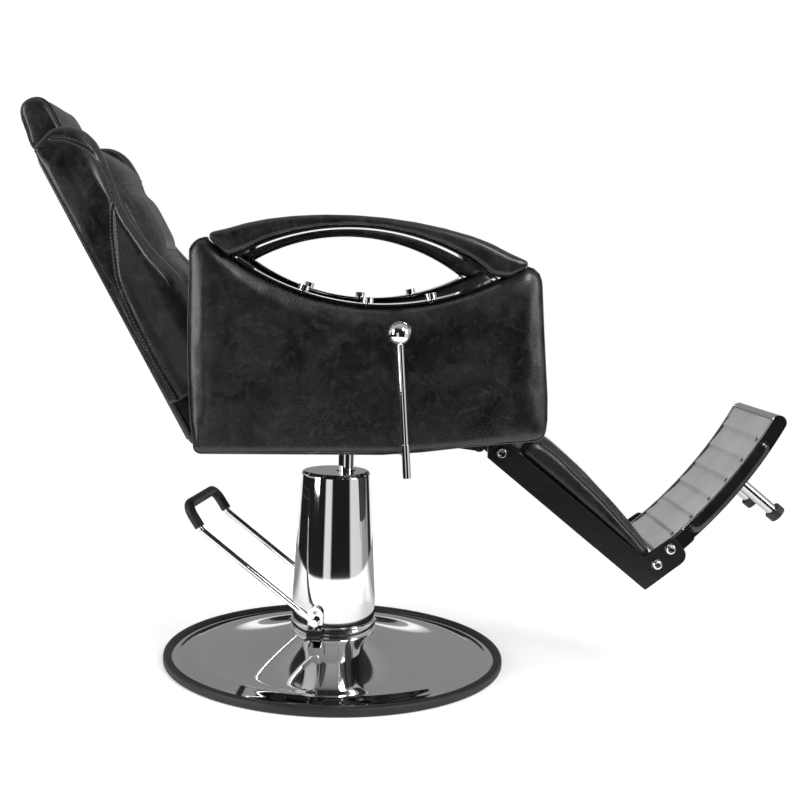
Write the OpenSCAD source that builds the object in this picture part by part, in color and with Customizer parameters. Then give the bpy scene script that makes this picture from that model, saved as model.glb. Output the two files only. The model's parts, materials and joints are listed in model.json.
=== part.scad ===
// Hydraulic barber chair: a swivelling, reclining seat on a foot-pumped column.
// +X is the way the sitter faces, +Z is up, the origin is the base's centre on the floor.
// Millimetres and degrees throughout.

/* [Base] */
// Outer radius of the rubber-edged foot disc
base_r = 300; // [250:1:360]
// Height of the rubber edging
edging_h = 16; // [12:1:22]
// Width of the rubber edging across the rim
edging_w = 15; // [12:1:20]
// Height of the disc's crown above the floor
crown_z = 54; // [40:1:66]
// Thickness of the spun disc
disc_t = 2; // [1.5:0.5:3]

/* [Column] */
// Radius of the column cover at its foot
cover_foot_r = 73; // [68:1:88]
// Radius of the column cover at its top
cover_top_r = 61; // [56:1:66]
// Height of the cover's top above the floor
cover_top_z = 338; // [300:1:380]
// Radius of the hydraulic piston
piston_r = 14; // [11:0.5:17]
// How far the piston stands forward of the column's centre
piston_x = 17.5; // [10:0.5:20]
// Height that the pump can raise the seat
lift_travel = 150; // [100:5:180]

/* [Pump lever] */
// Direction of the lever, measured from straight back towards the sitter's left
lever_yaw = 11; // [0:1:20]
// Rise of the lever's rods above the horizontal
lever_rise = 36.6; // [30:0.5:42]
// Radius of the lever's rod
lever_rod_r = 5.5; // [4.5:0.5:6.5]
// Length of each rod from its pivot to the bend
lever_len = 251; // [200:1:280]
// Radius of the rubber grip
grip_r = 9; // [7.5:0.5:11]

/* [Seat] */
// Half of the clear width between the side panels
seat_half = 214; // [190:1:257]
// Thickness of a side panel
panel_t = 52; // [42:1:62]
// Height of the side panels' lower edge at the rear
panel_foot_z = 403; // [397:1:409]
// Depth of the seat cushion, front to back
cushion_len = 478; // [440:1:500]
// Thickness of the seat cushion at its crown
cushion_t = 112; // [90:1:130]
// Side of the square steel tube of the seat frame
tube = 25; // [20:1:28]

/* [Armrests] */
// Width of an arm pad
arm_w = 76; // [62:1:90]
// Width of the bent steel band that carries the pad
band_w = 60; // [50:1:66]
// Thickness of that band
band_t = 3; // [2.5:0.5:4]

/* [Backrest] */
// Lean of the backrest from the vertical at rest
back_lean = 28.4; // [22:0.1:34]
// Length of the backrest along its slope
back_len = 545; // [460:1:640]
// Thickness of the backrest over its cushion
back_t = 112; // [95:1:125]
// Thickness of the backrest's plywood board
back_board_t = 15; // [12:1:18]
// Height of the headrest
head_h = 80; // [70:1:96]
// Width of the headrest
head_w = 230; // [190:1:260]
// How far the headrest pulls out
head_travel = 110; // [60:5:120]

/* [Leg rest] */
// Fall of the leg rest below the horizontal at rest
leg_fall = 39; // [34:0.5:44]
// Length of a leg-rest arm from its pivot to the footplate's bolts
leg_len = 325.5; // [290:0.5:380]
// Depth of a leg-rest arm
leg_depth = 40; // [34:1:46]
// Half of the leg rest's width over its arms
leg_half = 112; // [100:1:130]
// Thickness of a leg-rest arm
leg_plate_t = 6; // [4:0.5:7]
// Height of the footplate along its curve
tread_h = 303; // [260:1:340]
// Radius that the footplate is bent to
tread_r = 760; // [640:5:900]
// Number of treads pressed into the footplate
tread_steps = 7; // [4:1:9]
// Radius of a foot post
post_r = 9.5; // [8:0.5:10.5]

/* [Recline handle] */
// Radius of the handle's ball knob
knob_r = 18.6; // [15:0.1:21]
// Height of the ball above the handle's pivot
handle_len = 194; // [165:1:225]
// Tilt of the handle back from the vertical
handle_tilt = 4.2; // [0:0.1:8]

/* [Hidden] */
$fn = 72;
EPS = 0.01;
soft_gap = 0.3;      // clearance between a padded piece and its seat
run_gap = 0.05;      // radial clearance of a turning or sliding fit
plate_gap = 0.5;     // side clearance between plates that turn past each other

// ---- base and column -------------------------------------------------------------------
rim_z = 9;                               // top of the disc at its rim
disc_r = base_r - 4;
flange_r = cover_foot_r + 2;
crown_r = flange_r + 5;                  // radius where the dome meets the pump's flange
flange_h = 20;
flange_z = crown_z;
cover_foot_z = flange_z + flange_h;
cover_straight_z = cover_foot_z + 40;    // the cover tapers above this height
cover_t = 1.5;
cover_round = 7;
cover_hole_r = piston_r + 3;
cylinder_r = piston_r + 20;
pump_hole_r = piston_x + cylinder_r + 1.5;
chamber_r = piston_r + 6;
cylinder_top_z = cover_top_z - 27;
head_top_z = cover_top_z - 6;
piston_foot_z = 82;
hub_z0 = cover_top_z + 34;               // lower face of the swivel hub
hub_r = piston_r + 12;
plate_z = hub_z0 + 17;                   // lower face of the seat's mounting plate
plate_t = 6;
rail_z = plate_z + plate_t;              // lower face of the frame's rails
hub_top_z = rail_z + 23;
piston_top_z = hub_top_z - 6;

// ---- pump lever ------------------------------------------------------------------------
lever_pivot_z = flange_z + 32;
lever_pivot_back = 17;                   // pivots behind the column's centre
bracket_t = 4;
bracket_y = flange_r + soft_gap;         // inner face of a lever bracket
eye_t = 7;
lever_half = bracket_y + bracket_t + plate_gap + eye_t / 2;
eye_r = 8;
lever_pin_r = 4;
lever_kick = 20;                         // the grip's legs rise this much more steeply
kick_len = 28;
lever_corner_r = 22;

// ---- seat ------------------------------------------------------------------------------
panel_out = seat_half + panel_t;
arm_y = seat_half + panel_t / 2;
rail_out = seat_half - 39;
rail_rear_x = -170;
rail_front_x = 188;                      // front of the inner tubes and of their cross tube
outer_rail_x = 110;                      // front end of the outer rails
bar_t = 5;
board_z = rail_z + tube + bar_t;
board_t = 15;
cushion_z = board_z + board_t;
cushion_half = seat_half - 7;
cushion_front_x = 338;
cushion_rear_x = cushion_front_x - cushion_len;
board_front_x = 300;
board_rear_x = -134;
cushion_nose = 15;                       // the cushion's front hangs this far below the board's top
inner_out = 85;                          // outer face of the frame's inner tubes
mount_half_x = 78;
mount_half_y = inner_out;
side_bar_x = [-85, 155];
side_bar_w = 40;
release_x = 104;
release_z = rail_z + 7;
release_r = 5;
handle_y = panel_out + 24;
handle_rod_r = 5.25;
handle_sleeve_r = 6.2;

// ---- armrest: a lens between two arcs in the side view ---------------------------------
saddle = [60, panel_foot_z + 626];       // centre of the arc that the panel's top follows
saddle_r = 395;
crest = [18, panel_foot_z - 8.5];         // centre of the arc under the arm pad
crest_r = 360;
arm_bolt_x = [-57, 42, 140];
arm_bolt_r = 9;
arm_bolt_h = 9;

// ---- backrest, in its own frame: X forward from its rear face, Z up its slope ----------
back_foot = [-231, 0, panel_foot_z - 3];
back_half = seat_half - 6;
shell_t = 12;
board_front_t = shell_t + back_board_t;
board_half = rail_out + 10.7;
shell_rim = 27;                          // depth of the shell's side walls
wing_in = back_half - 68;                // inner face of a side wing
pad_foot_s = 76;                         // lower end of the backrest's padding
hinge_s = 31;
hinge_t = 52;
hinge_plate_y = rail_out + 11;           // inner face of a back hinge plate
hinge_plate_t = 5;
hinge_pin_r = 6;
channel_s = [for (k = [1:3]) back_len * (1 - 0.224 * k)];
head_s = back_len - 8;
head_t0 = -17;
head_t1 = 61;
head_post_y = 62;
head_post_w = 24;
head_post_t = 6;

// ---- recline hinge and link, in the side view ------------------------------------------
function in_back_xz(s, t) = [
    back_foot[0] + t * cos(back_lean) - s * sin(back_lean),
    back_foot[2] + t * sin(back_lean) + s * cos(back_lean)];
recline_pivot = in_back_xz(hinge_s, hinge_t);
leg_pivot = [275, panel_foot_z - 13];
crank = 34;                              // both link pins hang this far below their pivots
lug_plate_t = 5;
link_y = rail_out + lug_plate_t + plate_gap;   // inner face of the link
link_t = 5;
link_r = 7;
link_pin_r = 4;
link_from = recline_pivot - [0, crank];
link_to = leg_pivot - [0, crank];
link_angle = atan2(link_to[1] - link_from[1], link_to[0] - link_from[0]);
link_len = norm(link_to - link_from);

// ---- gas spring ------------------------------------------------------------------------
spring_y = 43;
spring_from = link_from;
spring_to = [80, rail_z + 11];
spring_len = norm(spring_to - spring_from);
spring_angle = atan2(spring_to[1] - spring_from[1], spring_to[0] - spring_from[0]);
spring_r = 8.5;
spring_rod_r = 4;
spring_pin_r = 4;
spring_eye_t = 12;
spring_slack = 1.6;                      // opened front eye: the rear pin swings on an arc

// ---- leg rest, in its own frame: X down the arm from its pivot, Z out of the calf pad --
leg_in = leg_half - leg_plate_t;
lug_t = 6;
lug_out = leg_in - plate_gap;
leg_shaft_r = 8;
ear_bolt_z = [24.6, 58.5];
tray_half = leg_in - 6;
tray_t = 26;
tray_wall = 2;
tray_foot_z = 35;
tread_t = 3;
tread_c = [leg_len + 2.5 - tread_r, tray_foot_z + 160];
post_z = 224;
post_y = 60;
post_end_x = leg_len + 119;
cap_r = post_r + 5.5;
cap_h = 13;

// ==== helpers ===========================================================================
function unit(v) = v / norm(v);
function signed_pow(x, p) = sign(x) * pow(abs(x), p);
function mean(pts) = [for (k = [0:len(pts[0]) - 1]) let (c = [for (p = pts) p[k]]) sum(c) / len(c)];
function sum(v, i = 0) = i < len(v) ? v[i] + sum(v, i + 1) : 0;

// Arc that rounds corner b, met from a and left towards c, to radius r
function fillet(a, b, c, r, n) =
    let (u = unit(a - b), v = unit(c - b), half = acos(u * v) / 2)
    let (centre = b + unit(u + v) * r / sin(half), start = b + u * r / tan(half), stop = b + v * r / tan(half))
    let (a0 = atan2(start[1] - centre[1], start[0] - centre[0]))
    let (a1 = atan2(stop[1] - centre[1], stop[0] - centre[0]))
    let (turn = (a1 - a0 + 540) % 360 - 180)
    [for (k = [0:n]) centre + r * [cos(a0 + turn * k / n), sin(a0 + turn * k / n)]];

// Outline through corners [x, y, r], each rounded to its own r (0 keeps it sharp)
function rounded(corners, n = 6) =
    let (m = len(corners), xy = [for (c = corners) [c[0], c[1]]])
    [for (i = [0:m - 1])
        each corners[i][2] > 0
            ? fillet(xy[(i + m - 1) % m], xy[i], xy[(i + 1) % m], corners[i][2], n)
            : [xy[i]]];

// Closed skin through rings of equal count, each running anticlockwise round the stack.
// Its two ends fan out from `hubs`, or from the middle of the end rings.
module loft(rings, hubs = []) {
    n = len(rings[0]);
    m = len(rings);
    ends = len(hubs) > 0 ? hubs : [mean(rings[0]), mean(rings[m - 1])];
    points = [each [for (r = rings) each r], each ends];
    faces = [
        for (j = [0:m - 2], i = [0:n - 1]) each let (k = (i + 1) % n)
            [[j * n + i, (j + 1) * n + i, j * n + k], [j * n + k, (j + 1) * n + i, (j + 1) * n + k]],
        for (i = [0:n - 1]) [m * n, i, (i + 1) % n],
        for (i = [0:n - 1]) [m * n + 1, (m - 1) * n + (i + 1) % n, (m - 1) * n + i]];
    polyhedron(points, faces);
}

// Rounded rectangle of half sizes a and b as a superellipse of n points
function pad_ring(a, b, n, squareness = 5) =
    [for (i = [0:n - 1]) let (w = 360 * (i + 0.5) / n)
        [a * signed_pow(cos(w), 2 / squareness), b * signed_pow(sin(w), 2 / squareness)]];

// Share of a pad's full section left at u, which runs from -1 to 1 along the pad
function pad_end(u, squareness = 5) = pow(1 - pow(abs(u), squareness), 1 / squareness);

// Stations from -1 to 1, closer together near both ends
function stations(n, reach = 84) = [for (k = [0:n]) sin(-reach + 2 * reach * k / n) / sin(reach) * 0.995];

// Extrudes a side-view shape (X, Z) from y0 to y1
module slab(y0, y1) {
    translate([0, y1, 0])
        rotate([90, 0, 0])
            linear_extrude(y1 - y0)
                children();
}

module at_xz(p) {
    translate([p[0], 0, p[1]])
        children();
}

// Straight round bar along Y
module bar_y(r, y0, y1) {
    translate([0, y0, 0])
        rotate([-90, 0, 0])
            cylinder(r = r, h = y1 - y0);
}

module both_sides() {
    children();
    mirror([0, 1, 0])
        children();
}

module in_back() {
    translate(back_foot)
        rotate([0, -back_lean, 0])
            children();
}

module in_leg() {
    at_xz(leg_pivot)
        rotate([0, leg_fall, 0])
            children();
}

// The lever's frame: X runs out along the lever, Y along its pivot, Z up
module in_lever() {
    rotate([0, 0, 180 - lever_yaw])
        translate([lever_pivot_back, 0, lever_pivot_z])
            children();
}

// ==== base ==============================================================================
// Height of the dome's upper face at radius r
function dome_z(r) =
    let (u = max(0, min(1, (r - crown_r) / (disc_r - crown_r))))
    rim_z + (crown_z - rim_z) * pow(1 - u, 1.6);

module base_disc() {
    steps = 22;
    upper = [for (k = [0:steps]) let (r = crown_r + (disc_r - crown_r) * k / steps) [r, dome_z(r)]];
    lower = [for (k = [steps:-1:0]) [upper[k][0], upper[k][1] - disc_t]];
    color("silver")
        difference() {
            rotate_extrude($fn = 144)
                polygon(concat([[pump_hole_r, crown_z]], upper, lower, [[pump_hole_r, crown_z - disc_t]]));
            ring_of_bolts(6, base_bolt_pcd_r)
                cylinder(r = base_bolt_r + run_gap, h = crown_z + 10);
        }
}

module base_edging() {
    slot = 0.1;
    slope = 0.7;                         // the disc rises this much under the edging's inner lip
    color("black")
        rotate_extrude($fn = 144)
            difference() {
                polygon(rounded([
                    [base_r - edging_w, 0, 2], [base_r, 0, 4],
                    [base_r, edging_h, 6], [base_r - edging_w, edging_h, 5]]));
                translate([base_r - edging_w - 1, rim_z - disc_t - slot])
                    square([disc_r - base_r + edging_w + 1 + slot, disc_t + slot + slope]);
            }
}

base_bolt_pcd_r = 62;
base_bolt_r = 5;

module ring_of_bolts(n, r) {
    for (k = [0:n - 1])
        rotate([0, 0, 360 * (k + 0.5) / n])
            translate([r, 0, 0])
                children();
}

module base_stiffener() {
    color("dimgray")
        difference() {
            translate([0, 0, crown_z - disc_t - 8])
                cylinder(r = crown_r, h = 8);
            translate([0, 0, crown_z - disc_t - 9])
                cylinder(r = pump_hole_r, h = 10);
            ring_of_bolts(6, base_bolt_pcd_r)
                translate([0, 0, crown_z - disc_t - 9])
                    cylinder(r = base_bolt_r + run_gap, h = 10);
        }
}

module base_bolts() {
    color("gray")
        ring_of_bolts(6, base_bolt_pcd_r) {
            translate([0, 0, crown_z - disc_t - 8 - 6])
                cylinder(r = 8.5, h = 6, $fn = 6);
            translate([0, 0, crown_z - disc_t - 8 - EPS])
                cylinder(r = base_bolt_r, h = 8 + disc_t + 12);
        }
}

// ==== pump and column ===================================================================
module pump_flange() {
    color("silver")
        difference() {
            translate([0, 0, flange_z])
                rotate_extrude()
                    polygon(rounded([[0, 0, 0], [flange_r, 0, 1], [flange_r, flange_h, 2.5], [0, flange_h, 0]]));
            translate([piston_x, 0, flange_z - 1])
                cylinder(r = cylinder_r + run_gap, h = flange_h + 2);
            ring_of_bolts(6, base_bolt_pcd_r)
                translate([0, 0, flange_z - 1])
                    cylinder(r = base_bolt_r + run_gap, h = 14);
        }
}

module pump_cylinder() {
    color("gray")
        translate([piston_x, 0, 0])
            difference() {
                translate([0, 0, crown_z - 14])
                    cylinder(r = cylinder_r, h = cylinder_top_z - crown_z + 14);
                translate([0, 0, piston_foot_z - 12])
                    cylinder(r = chamber_r, h = cylinder_top_z);
            }
}

module pump_head() {
    color("dimgray")
        translate([piston_x, 0, 0])
            difference() {
                union() {
                    translate([0, 0, cylinder_top_z])
                        cylinder(r = cylinder_r, h = head_top_z - cylinder_top_z - 6);
                    translate([0, 0, cylinder_top_z - 14])
                        cylinder(r = chamber_r - 0.05, h = 16);
                    translate([0, 0, head_top_z - 6 - EPS])
                        cylinder(r = piston_r + 7, h = 6);
                }
                translate([0, 0, cylinder_top_z - 20])
                    cylinder(r = piston_r + run_gap, h = 60);
            }
}

module column_cover() {
    inner_top_z = cover_top_z - cover_t - 1;
    color("silver")
        difference() {
            rotate_extrude($fn = 128)
                difference() {
                    polygon(rounded([
                        [0, cover_foot_z + 0.2, 0], [cover_foot_r, cover_foot_z + 0.2, 0.6],
                        [cover_foot_r, cover_straight_z, 60], [cover_top_r, cover_top_z, cover_round],
                        [0, cover_top_z, 0]]));
                    polygon([
                        [-1, cover_foot_z - 1], [cover_foot_r - cover_t, cover_foot_z - 1],
                        [cover_foot_r - cover_t, cover_straight_z], [cover_top_r - cover_t - 1.5, inner_top_z],
                        [-1, inner_top_z]]);
                }
            translate([piston_x, 0, cover_top_z - 20])
                cylinder(r = cover_hole_r, h = 40);
        }
}

module piston_rod() {
    color("silver")
        translate([piston_x, 0, 0]) {
            translate([0, 0, piston_foot_z])
                cylinder(r = piston_r, h = piston_top_z - piston_foot_z);
            translate([0, 0, piston_foot_z])
                cylinder(r = chamber_r - run_gap, h = 14);
        }
}

// ==== pump lever ========================================================================
module lever_brackets() {
    foot = flange_z - lever_pivot_z;
    color("black")
        in_lever()
            both_sides()
                difference() {
                    union() {
                        slab(bracket_y, bracket_y + bracket_t)
                            polygon(rounded([[-13, foot + 0.3, 0], [13, foot + 0.3, 0], [13, 25, 12.9], [-13, 25, 12.9]]));
                        slab(bracket_y, bracket_y + bracket_t + eye_t + 8)
                            polygon(rounded([
                                [-12, foot + 2.5, 1], [12, foot + 2.5, 1],
                                [12, -eye_r - 2.5, 2], [-12, -eye_r - 2.5, 2]]));
                    }
                    bar_y(lever_pin_r + run_gap, 0, 200);
                    translate([0, 0, 16])
                        bar_y(3.5, 0, 200);
                }
}

module lever_pins() {
    head_y = lever_half + eye_t / 2 + plate_gap;
    color("silver")
        in_lever()
            both_sides() {
                bar_y(lever_pin_r, bracket_y, head_y);
                bar_y(6.5, head_y - EPS, head_y + 4);
            }
}

// Bent length of round bar: starts at the origin along +X and turns towards +Z
module bend(turn_r, r, angle) {
    translate([0, 0, turn_r])
        rotate([90, 0, 0])
            rotate([0, 0, -90])
                rotate_extrude(angle = angle)
                    translate([turn_r, 0])
                        circle(r = r);
}

module bar_x(r, x0, x1) {
    translate([x0, 0, 0])
        rotate([0, 90, 0])
            cylinder(r = r, h = x1 - x0);
}

// Frame at the lever's bend on one side, its X along the rod
module at_lever_bend(side) {
    translate([0, side * lever_half, 0])
        rotate([0, -lever_rise, 0])
            translate([lever_len, 0, 0])
                children();
}

// Round bar round the lever's hand end: two legs, two corners and the bar between them
module lever_end(r, start) {
    for (side = [-1, 1])
        at_lever_bend(side)
            rotate([0, -lever_kick, 0]) {
                bar_x(r, start, kick_len);
                translate([kick_len, 0, 0])
                    rotate([side * 90, 0, 0])
                        bend(lever_corner_r, r, 90);
            }
    at_lever_bend(0)
        rotate([0, -lever_kick, 0])
            translate([kick_len + lever_corner_r, 0, 0])
                bar_y(r, -lever_half + lever_corner_r, lever_half - lever_corner_r);
}

module lever_rod() {
    color("silver")
        in_lever()
            difference() {
                union() {
                    for (side = [-1, 1]) {
                        at_lever_bend(side) {
                            bar_x(lever_rod_r, -lever_len, 0);
                            sphere(r = lever_rod_r + 0.4);
                        }
                        translate([0, side * lever_half, 0])
                            bar_y(eye_r, -eye_t / 2, eye_t / 2);
                    }
                    lever_end(lever_rod_r, 0);
                }
                bar_y(lever_pin_r + run_gap, -200, 200);
                both_sides() {
                    bar_y(eye_r + 26, lever_half - eye_t / 2 - 9, lever_half - eye_t / 2);
                    bar_y(eye_r + 26, lever_half + eye_t / 2, lever_half + eye_t / 2 + 9);
                }
            }
}

// Rubber grip drawn over the lever's hand end
module lever_grip() {
    color("black")
        in_lever()
            difference() {
                lever_end(grip_r, lever_rod_r + 1);
                lever_end(lever_rod_r + run_gap, 0);
            }
}

// ==== seat frame ========================================================================
wall = 2;

module swivel_hub() {
    color("dimgray")
        translate([piston_x, 0, 0])
            difference() {
                union() {
                    translate([0, 0, hub_z0])
                        cylinder(r = hub_r, h = hub_top_z - hub_z0);
                    translate([0, 0, plate_z - 6])
                        cylinder(r = hub_r + 22, h = 6);
                }
                translate([0, 0, hub_z0 - 1])
                    cylinder(r = piston_r + run_gap, h = piston_top_z - hub_z0 + 1.2);
                hub_bolt_places()
                    translate([0, 0, plate_z - 7])
                        cylinder(r = 4 + run_gap, h = 8);
            }
}

module hub_bolt_places() {
    for (x = [-1, 1], y = [-1, 1])
        translate([x * (hub_r + 11) * cos(45), y * (hub_r + 11) * sin(45), 0])
            children();
}

module frame_bolt_places() {
    for (x = [-1, 1], y = [-1, 1])
        translate([piston_x + x * (mount_half_x - 12), y * (inner_out - tube / 2), 0])
            children();
}

module mount_plate() {
    color("dimgray")
        difference() {
            translate([piston_x - mount_half_x, -mount_half_y, plate_z])
                cube([2 * mount_half_x, 2 * mount_half_y, plate_t]);
            translate([piston_x, 0, plate_z - 1]) {
                cylinder(r = hub_r + run_gap, h = plate_t + 2);
                hub_bolt_places()
                    cylinder(r = 4 + run_gap, h = plate_t + 2);
            }
            frame_bolt_places()
                translate([0, 0, plate_z - 1])
                    cylinder(r = 4 + run_gap, h = plate_t + 2);
        }
}

// Hexagon bolt with its nut, from the head's top at z0 up to the nut's top
module bolt_up(z0, head, reach, nut) {
    translate([0, 0, z0])
        cylinder(r = 7, h = head, $fn = 6);
    translate([0, 0, z0 + head - EPS])
        cylinder(r = 4, h = reach + 2 * EPS);
    translate([0, 0, z0 + head + reach])
        cylinder(r = 7, h = nut, $fn = 6);
}

module mount_bolts() {
    color("gray") {
        translate([piston_x, 0, 0])
            hub_bolt_places()
                bolt_up(plate_z - 6 - 5, 5, 6 + plate_t, 5);
        frame_bolt_places()
            bolt_up(plate_z - 5, 5, plate_t + tube, bar_t - 0.5);
    }
}

// Square tubes of the frame; `skin` is 0 for their outsides and the wall for their bores
module frame_tubes(skin, open) {
    side = tube - 2 * skin;
    both_sides() {
        translate([rail_rear_x - open, rail_out - tube + skin, rail_z + skin])
            cube([outer_rail_x - rail_rear_x + 2 * open, side, side]);
        translate([rail_rear_x - open, inner_out - tube + skin, rail_z + skin])
            cube([rail_front_x - rail_rear_x + open - skin, side, side]);
        translate([rail_rear_x + skin, inner_out - tube + skin, rail_z + skin])
            cube([side, rail_out - inner_out + tube - 2 * skin, side]);
    }
    translate([rail_front_x - tube + skin, -lug_out + skin, rail_z + skin])
        cube([side, 2 * lug_out - 2 * skin, side]);
}

module recline_lug() {
    p = recline_pivot;
    slab(rail_out - EPS, rail_out + lug_plate_t)
        polygon(rounded([
            [rail_rear_x + 2, rail_z + 1, 2], [rail_rear_x + 52, rail_z + 1, 2],
            [rail_rear_x + 30, rail_z + tube - 1, 12], [p[0] + 14, p[1] + 12, 12],
            [p[0] - 14, p[1] + 8, 12], [p[0] - 6, p[1] - 16, 10]]));
}

module leg_lug() {
    p = leg_pivot;
    slab(lug_out - lug_t, lug_out)
        polygon(rounded([
            [rail_front_x - tube + 1, rail_z + 1, 2], [rail_front_x + 2, rail_z + 1, 12],
            [p[0] - 43, rail_z + 9, 14], [p[0] - 21, rail_z + 9, 6],
            [p[0] - 12, p[1] - 15, 12], [p[0] + 15, p[1] - 13, 12],
            [p[0] + 14, p[1] + 15, 12], [p[0] - 12, rail_z + tube - 1, 10],
            [rail_front_x - tube + 1, rail_z + tube - 1, 2]]));
}

module seat_frame() {
    color("dimgray")
        difference() {
            union() {
                difference() {
                    frame_tubes(0, 0);
                    frame_tubes(wall, 1);
                }
                both_sides() {
                    recline_lug();
                    leg_lug();
                }
                at_xz(spring_to) {
                    bar_y(spring_pin_r, spring_y - 9, inner_out - tube + EPS);
                    bar_y(9, spring_y - 9.5, spring_y - 6.5);
                }
            }
            at_xz(recline_pivot)
                bar_y(hinge_pin_r + run_gap, -300, 300);
            at_xz(leg_pivot)
                bar_y(leg_shaft_r + run_gap, -300, 300);
            at_xz([release_x, release_z])
                bar_y(release_r + run_gap, -300, inner_out + 1);
            frame_bolt_places()
                translate([0, 0, rail_z - 1])
                    cylinder(r = 4 + run_gap, h = tube + 2);
        }
}

module seat_board() {
    color("burlywood")
        translate([board_rear_x, 0, board_z])
            linear_extrude(board_t)
                polygon(rounded([
                    [0, -cushion_half + 7, 25], [board_front_x - board_rear_x, -cushion_half + 7, 25],
                    [board_front_x - board_rear_x, cushion_half - 7, 25], [0, cushion_half - 7, 25]]));
}

// Two flat bars under the board; their upturned ends hold the side panels
module side_brackets() {
    color("dimgray")
        for (x = side_bar_x) {
            translate([x - side_bar_w / 2, -seat_half, board_z - bar_t])
                cube([side_bar_w, 2 * seat_half, bar_t]);
            both_sides()
                translate([x - side_bar_w / 2, seat_half - bar_t, board_z - bar_t])
                    cube([side_bar_w, bar_t, 80]);
        }
}

// Seat cushion: boxed sides, a crowned top and a nose that hangs in front of the board
module seat_cushion() {
    crown_h = 9;
    h = (cushion_t - crown_h) / 2;
    mid = cushion_z + soft_gap + h;
    xs = [for (u = stations(19)) let (x = cushion_rear_x + cushion_len * (u + 1) / 2) [u, x]];
    color([0.07, 0.07, 0.07])
        loft([for (s = xs)
            let (e = pad_end(s[0], 9), nose = max(0, min(1, (s[1] - board_front_x - 2) / 12)) * cushion_nose)
            [for (p = pad_ring(cushion_half * (0.9 + 0.1 * e), 1, 36, 7))
                let (crown = p[1] > 0 ? crown_h * (1 - pow(p[0] / cushion_half, 2)) : 0)
                let (low = p[1] < 0 ? nose : 0)
                [s[1] - 6 * pow(p[0] / cushion_half, 2) * (s[0] > 0 ? s[0] : 0),
                    p[0], mid + (p[1] * h + crown - low) * e]]]);
}

// ==== side panels and armrests ==========================================================
function arc_z(c, r, x, up) = c[1] + up * sqrt(r * r - pow(x - c[0], 2));
function panel_top(x) = arc_z(saddle, saddle_r + soft_gap + 0.5, x, -1);

// Side view of a panel (X, Z), anticlockwise from its lower rear corner
function panel_outline() =
    let (z0 = panel_foot_z, tail = -221, nose = 317)
    rounded(concat(
        [[tail, z0, 10], [70, z0 + 3, 0], [130, z0 + 8, 0], [215, z0 + 19, 0], [nose + 3, z0 + 29, 18],
            [nose + 6, z0 + 60, 0], [nose + 5, z0 + 95, 0], [nose + 1, z0 + 141, 0], [nose - 4, z0 + 201, 0],
            [nose - 9, z0 + 268, 0], [nose - 14, panel_top(285) + 5, 24]],
        [for (k = [0:12]) let (x = 274 - 37.8 * k) [x, panel_top(x), 0]],
        [[-196, panel_top(-192), 0], [-204, z0 + 331, 5], [-232, z0 + 330, 17]],
        [for (k = [4:-1:1]) let (z = z0 + 318 * k / 5)
            [tail - 11 + 10 * pow(max(0, 2.6 - k) / 2.6, 2), z, 0]]), 4);

// Outline moved inwards by d
function inward(pts, d) =
    let (m = len(pts))
    [for (i = [0:m - 1])
        let (a = unit(pts[i] - pts[(i + m - 1) % m]), b = unit(pts[(i + 1) % m] - pts[i]))
        let (n = unit([-(a + b)[1], (a + b)[0]]))
        pts[i] + n * d];

// Padded panel: the outline at mid thickness, drawn in towards both faces
module panel() {
    edge = panel_outline();
    levels = [[0, 8], [2, 3], [8, 0], [panel_t - 8, 0], [panel_t - 2, 3], [panel_t, 8]];
    difference() {
        loft([for (v = levels) [for (p = inward(edge, v[1])) [p[0], seat_half + v[0], p[1]]]],
            [for (y = [seat_half, seat_half + panel_t]) [40, y, panel_foot_z + 90]]);
        arm_bolt_places()
            translate([0, 0, -40])
                cylinder(r = 4 + soft_gap, h = 60, $fn = 16);
    }
}

module side_panel_left() {
    color([0.07, 0.07, 0.07])
        panel();
}

module side_panel_right() {
    color([0.07, 0.07, 0.07])
        mirror([0, 1, 0])
            panel();
}

// Lens between the saddle arc and the crest arc, both drawn in by d
module lens(d) {
    intersection() {
        translate(saddle)
            circle(r = saddle_r - d, $fn = 360);
        translate(crest)
            circle(r = crest_r - d, $fn = 360);
    }
}

// Places a bolt's frame on the band's lower strip, its Z towards the arc's centre
module arm_bolt_places() {
    for (x = arm_bolt_x) {
        tilt = asin((x - saddle[0]) / (saddle_r - band_t));
        translate([x, arm_y, arc_z(saddle, saddle_r - band_t, x, -1)])
            rotate([0, -tilt, 0])
                children();
    }
}

module arm_band() {
    difference() {
        slab(arm_y - band_w / 2, arm_y + band_w / 2)
            difference() {
                lens(0);
                lens(band_t);
            }
        arm_bolt_places()
            translate([0, 0, -band_t - 3])
                cylinder(r = 4 + soft_gap, h = 12);
    }
}

module arm_band_left() {
    color("silver")
        arm_band();
}

module arm_band_right() {
    color("silver")
        mirror([0, 1, 0])
            arm_band();
}

module arm_bolts() {
    color("silver")
        both_sides()
            arm_bolt_places() {
                difference() {
                    translate([0, 0, 2 * soft_gap])
                        cylinder(r = arm_bolt_r, h = arm_bolt_h);
                    translate([0, 0, arm_bolt_h - 4])
                        cylinder(r = 4.6, h = 6, $fn = 6);
                }
                translate([0, 0, -band_t - 26])
                    cylinder(r = 4, h = band_t + 27);
            }
}

// Arm pad: rests on the crest of the band and, past its tips, over the panel's ends
module arm_pad() {
    rear = -200;
    front = 285;
    top_r = 800;
    top_c = [-5, panel_foot_z + 367 - top_r];
    color([0.07, 0.07, 0.07])
        loft([for (u = stations(15))
            let (x = rear + (front - rear) * (u + 1) / 2, e = pad_end(u, 4.5))
            let (low = max(arc_z(crest, crest_r, x, 1), arc_z(saddle, saddle_r, x, -1)) + 3 * soft_gap)
            let (high = max(low + 6, arc_z(top_c, top_r, x, 1)), half = arm_w / 2 * (0.82 + 0.18 * e))
            [for (p = pad_ring(half, (high - low) / 2, 20, 4.5))
                [x, arm_y + p[0], low + (p[1] + (high - low) / 2) * (0.35 + 0.65 * e)]]]);
}

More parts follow.
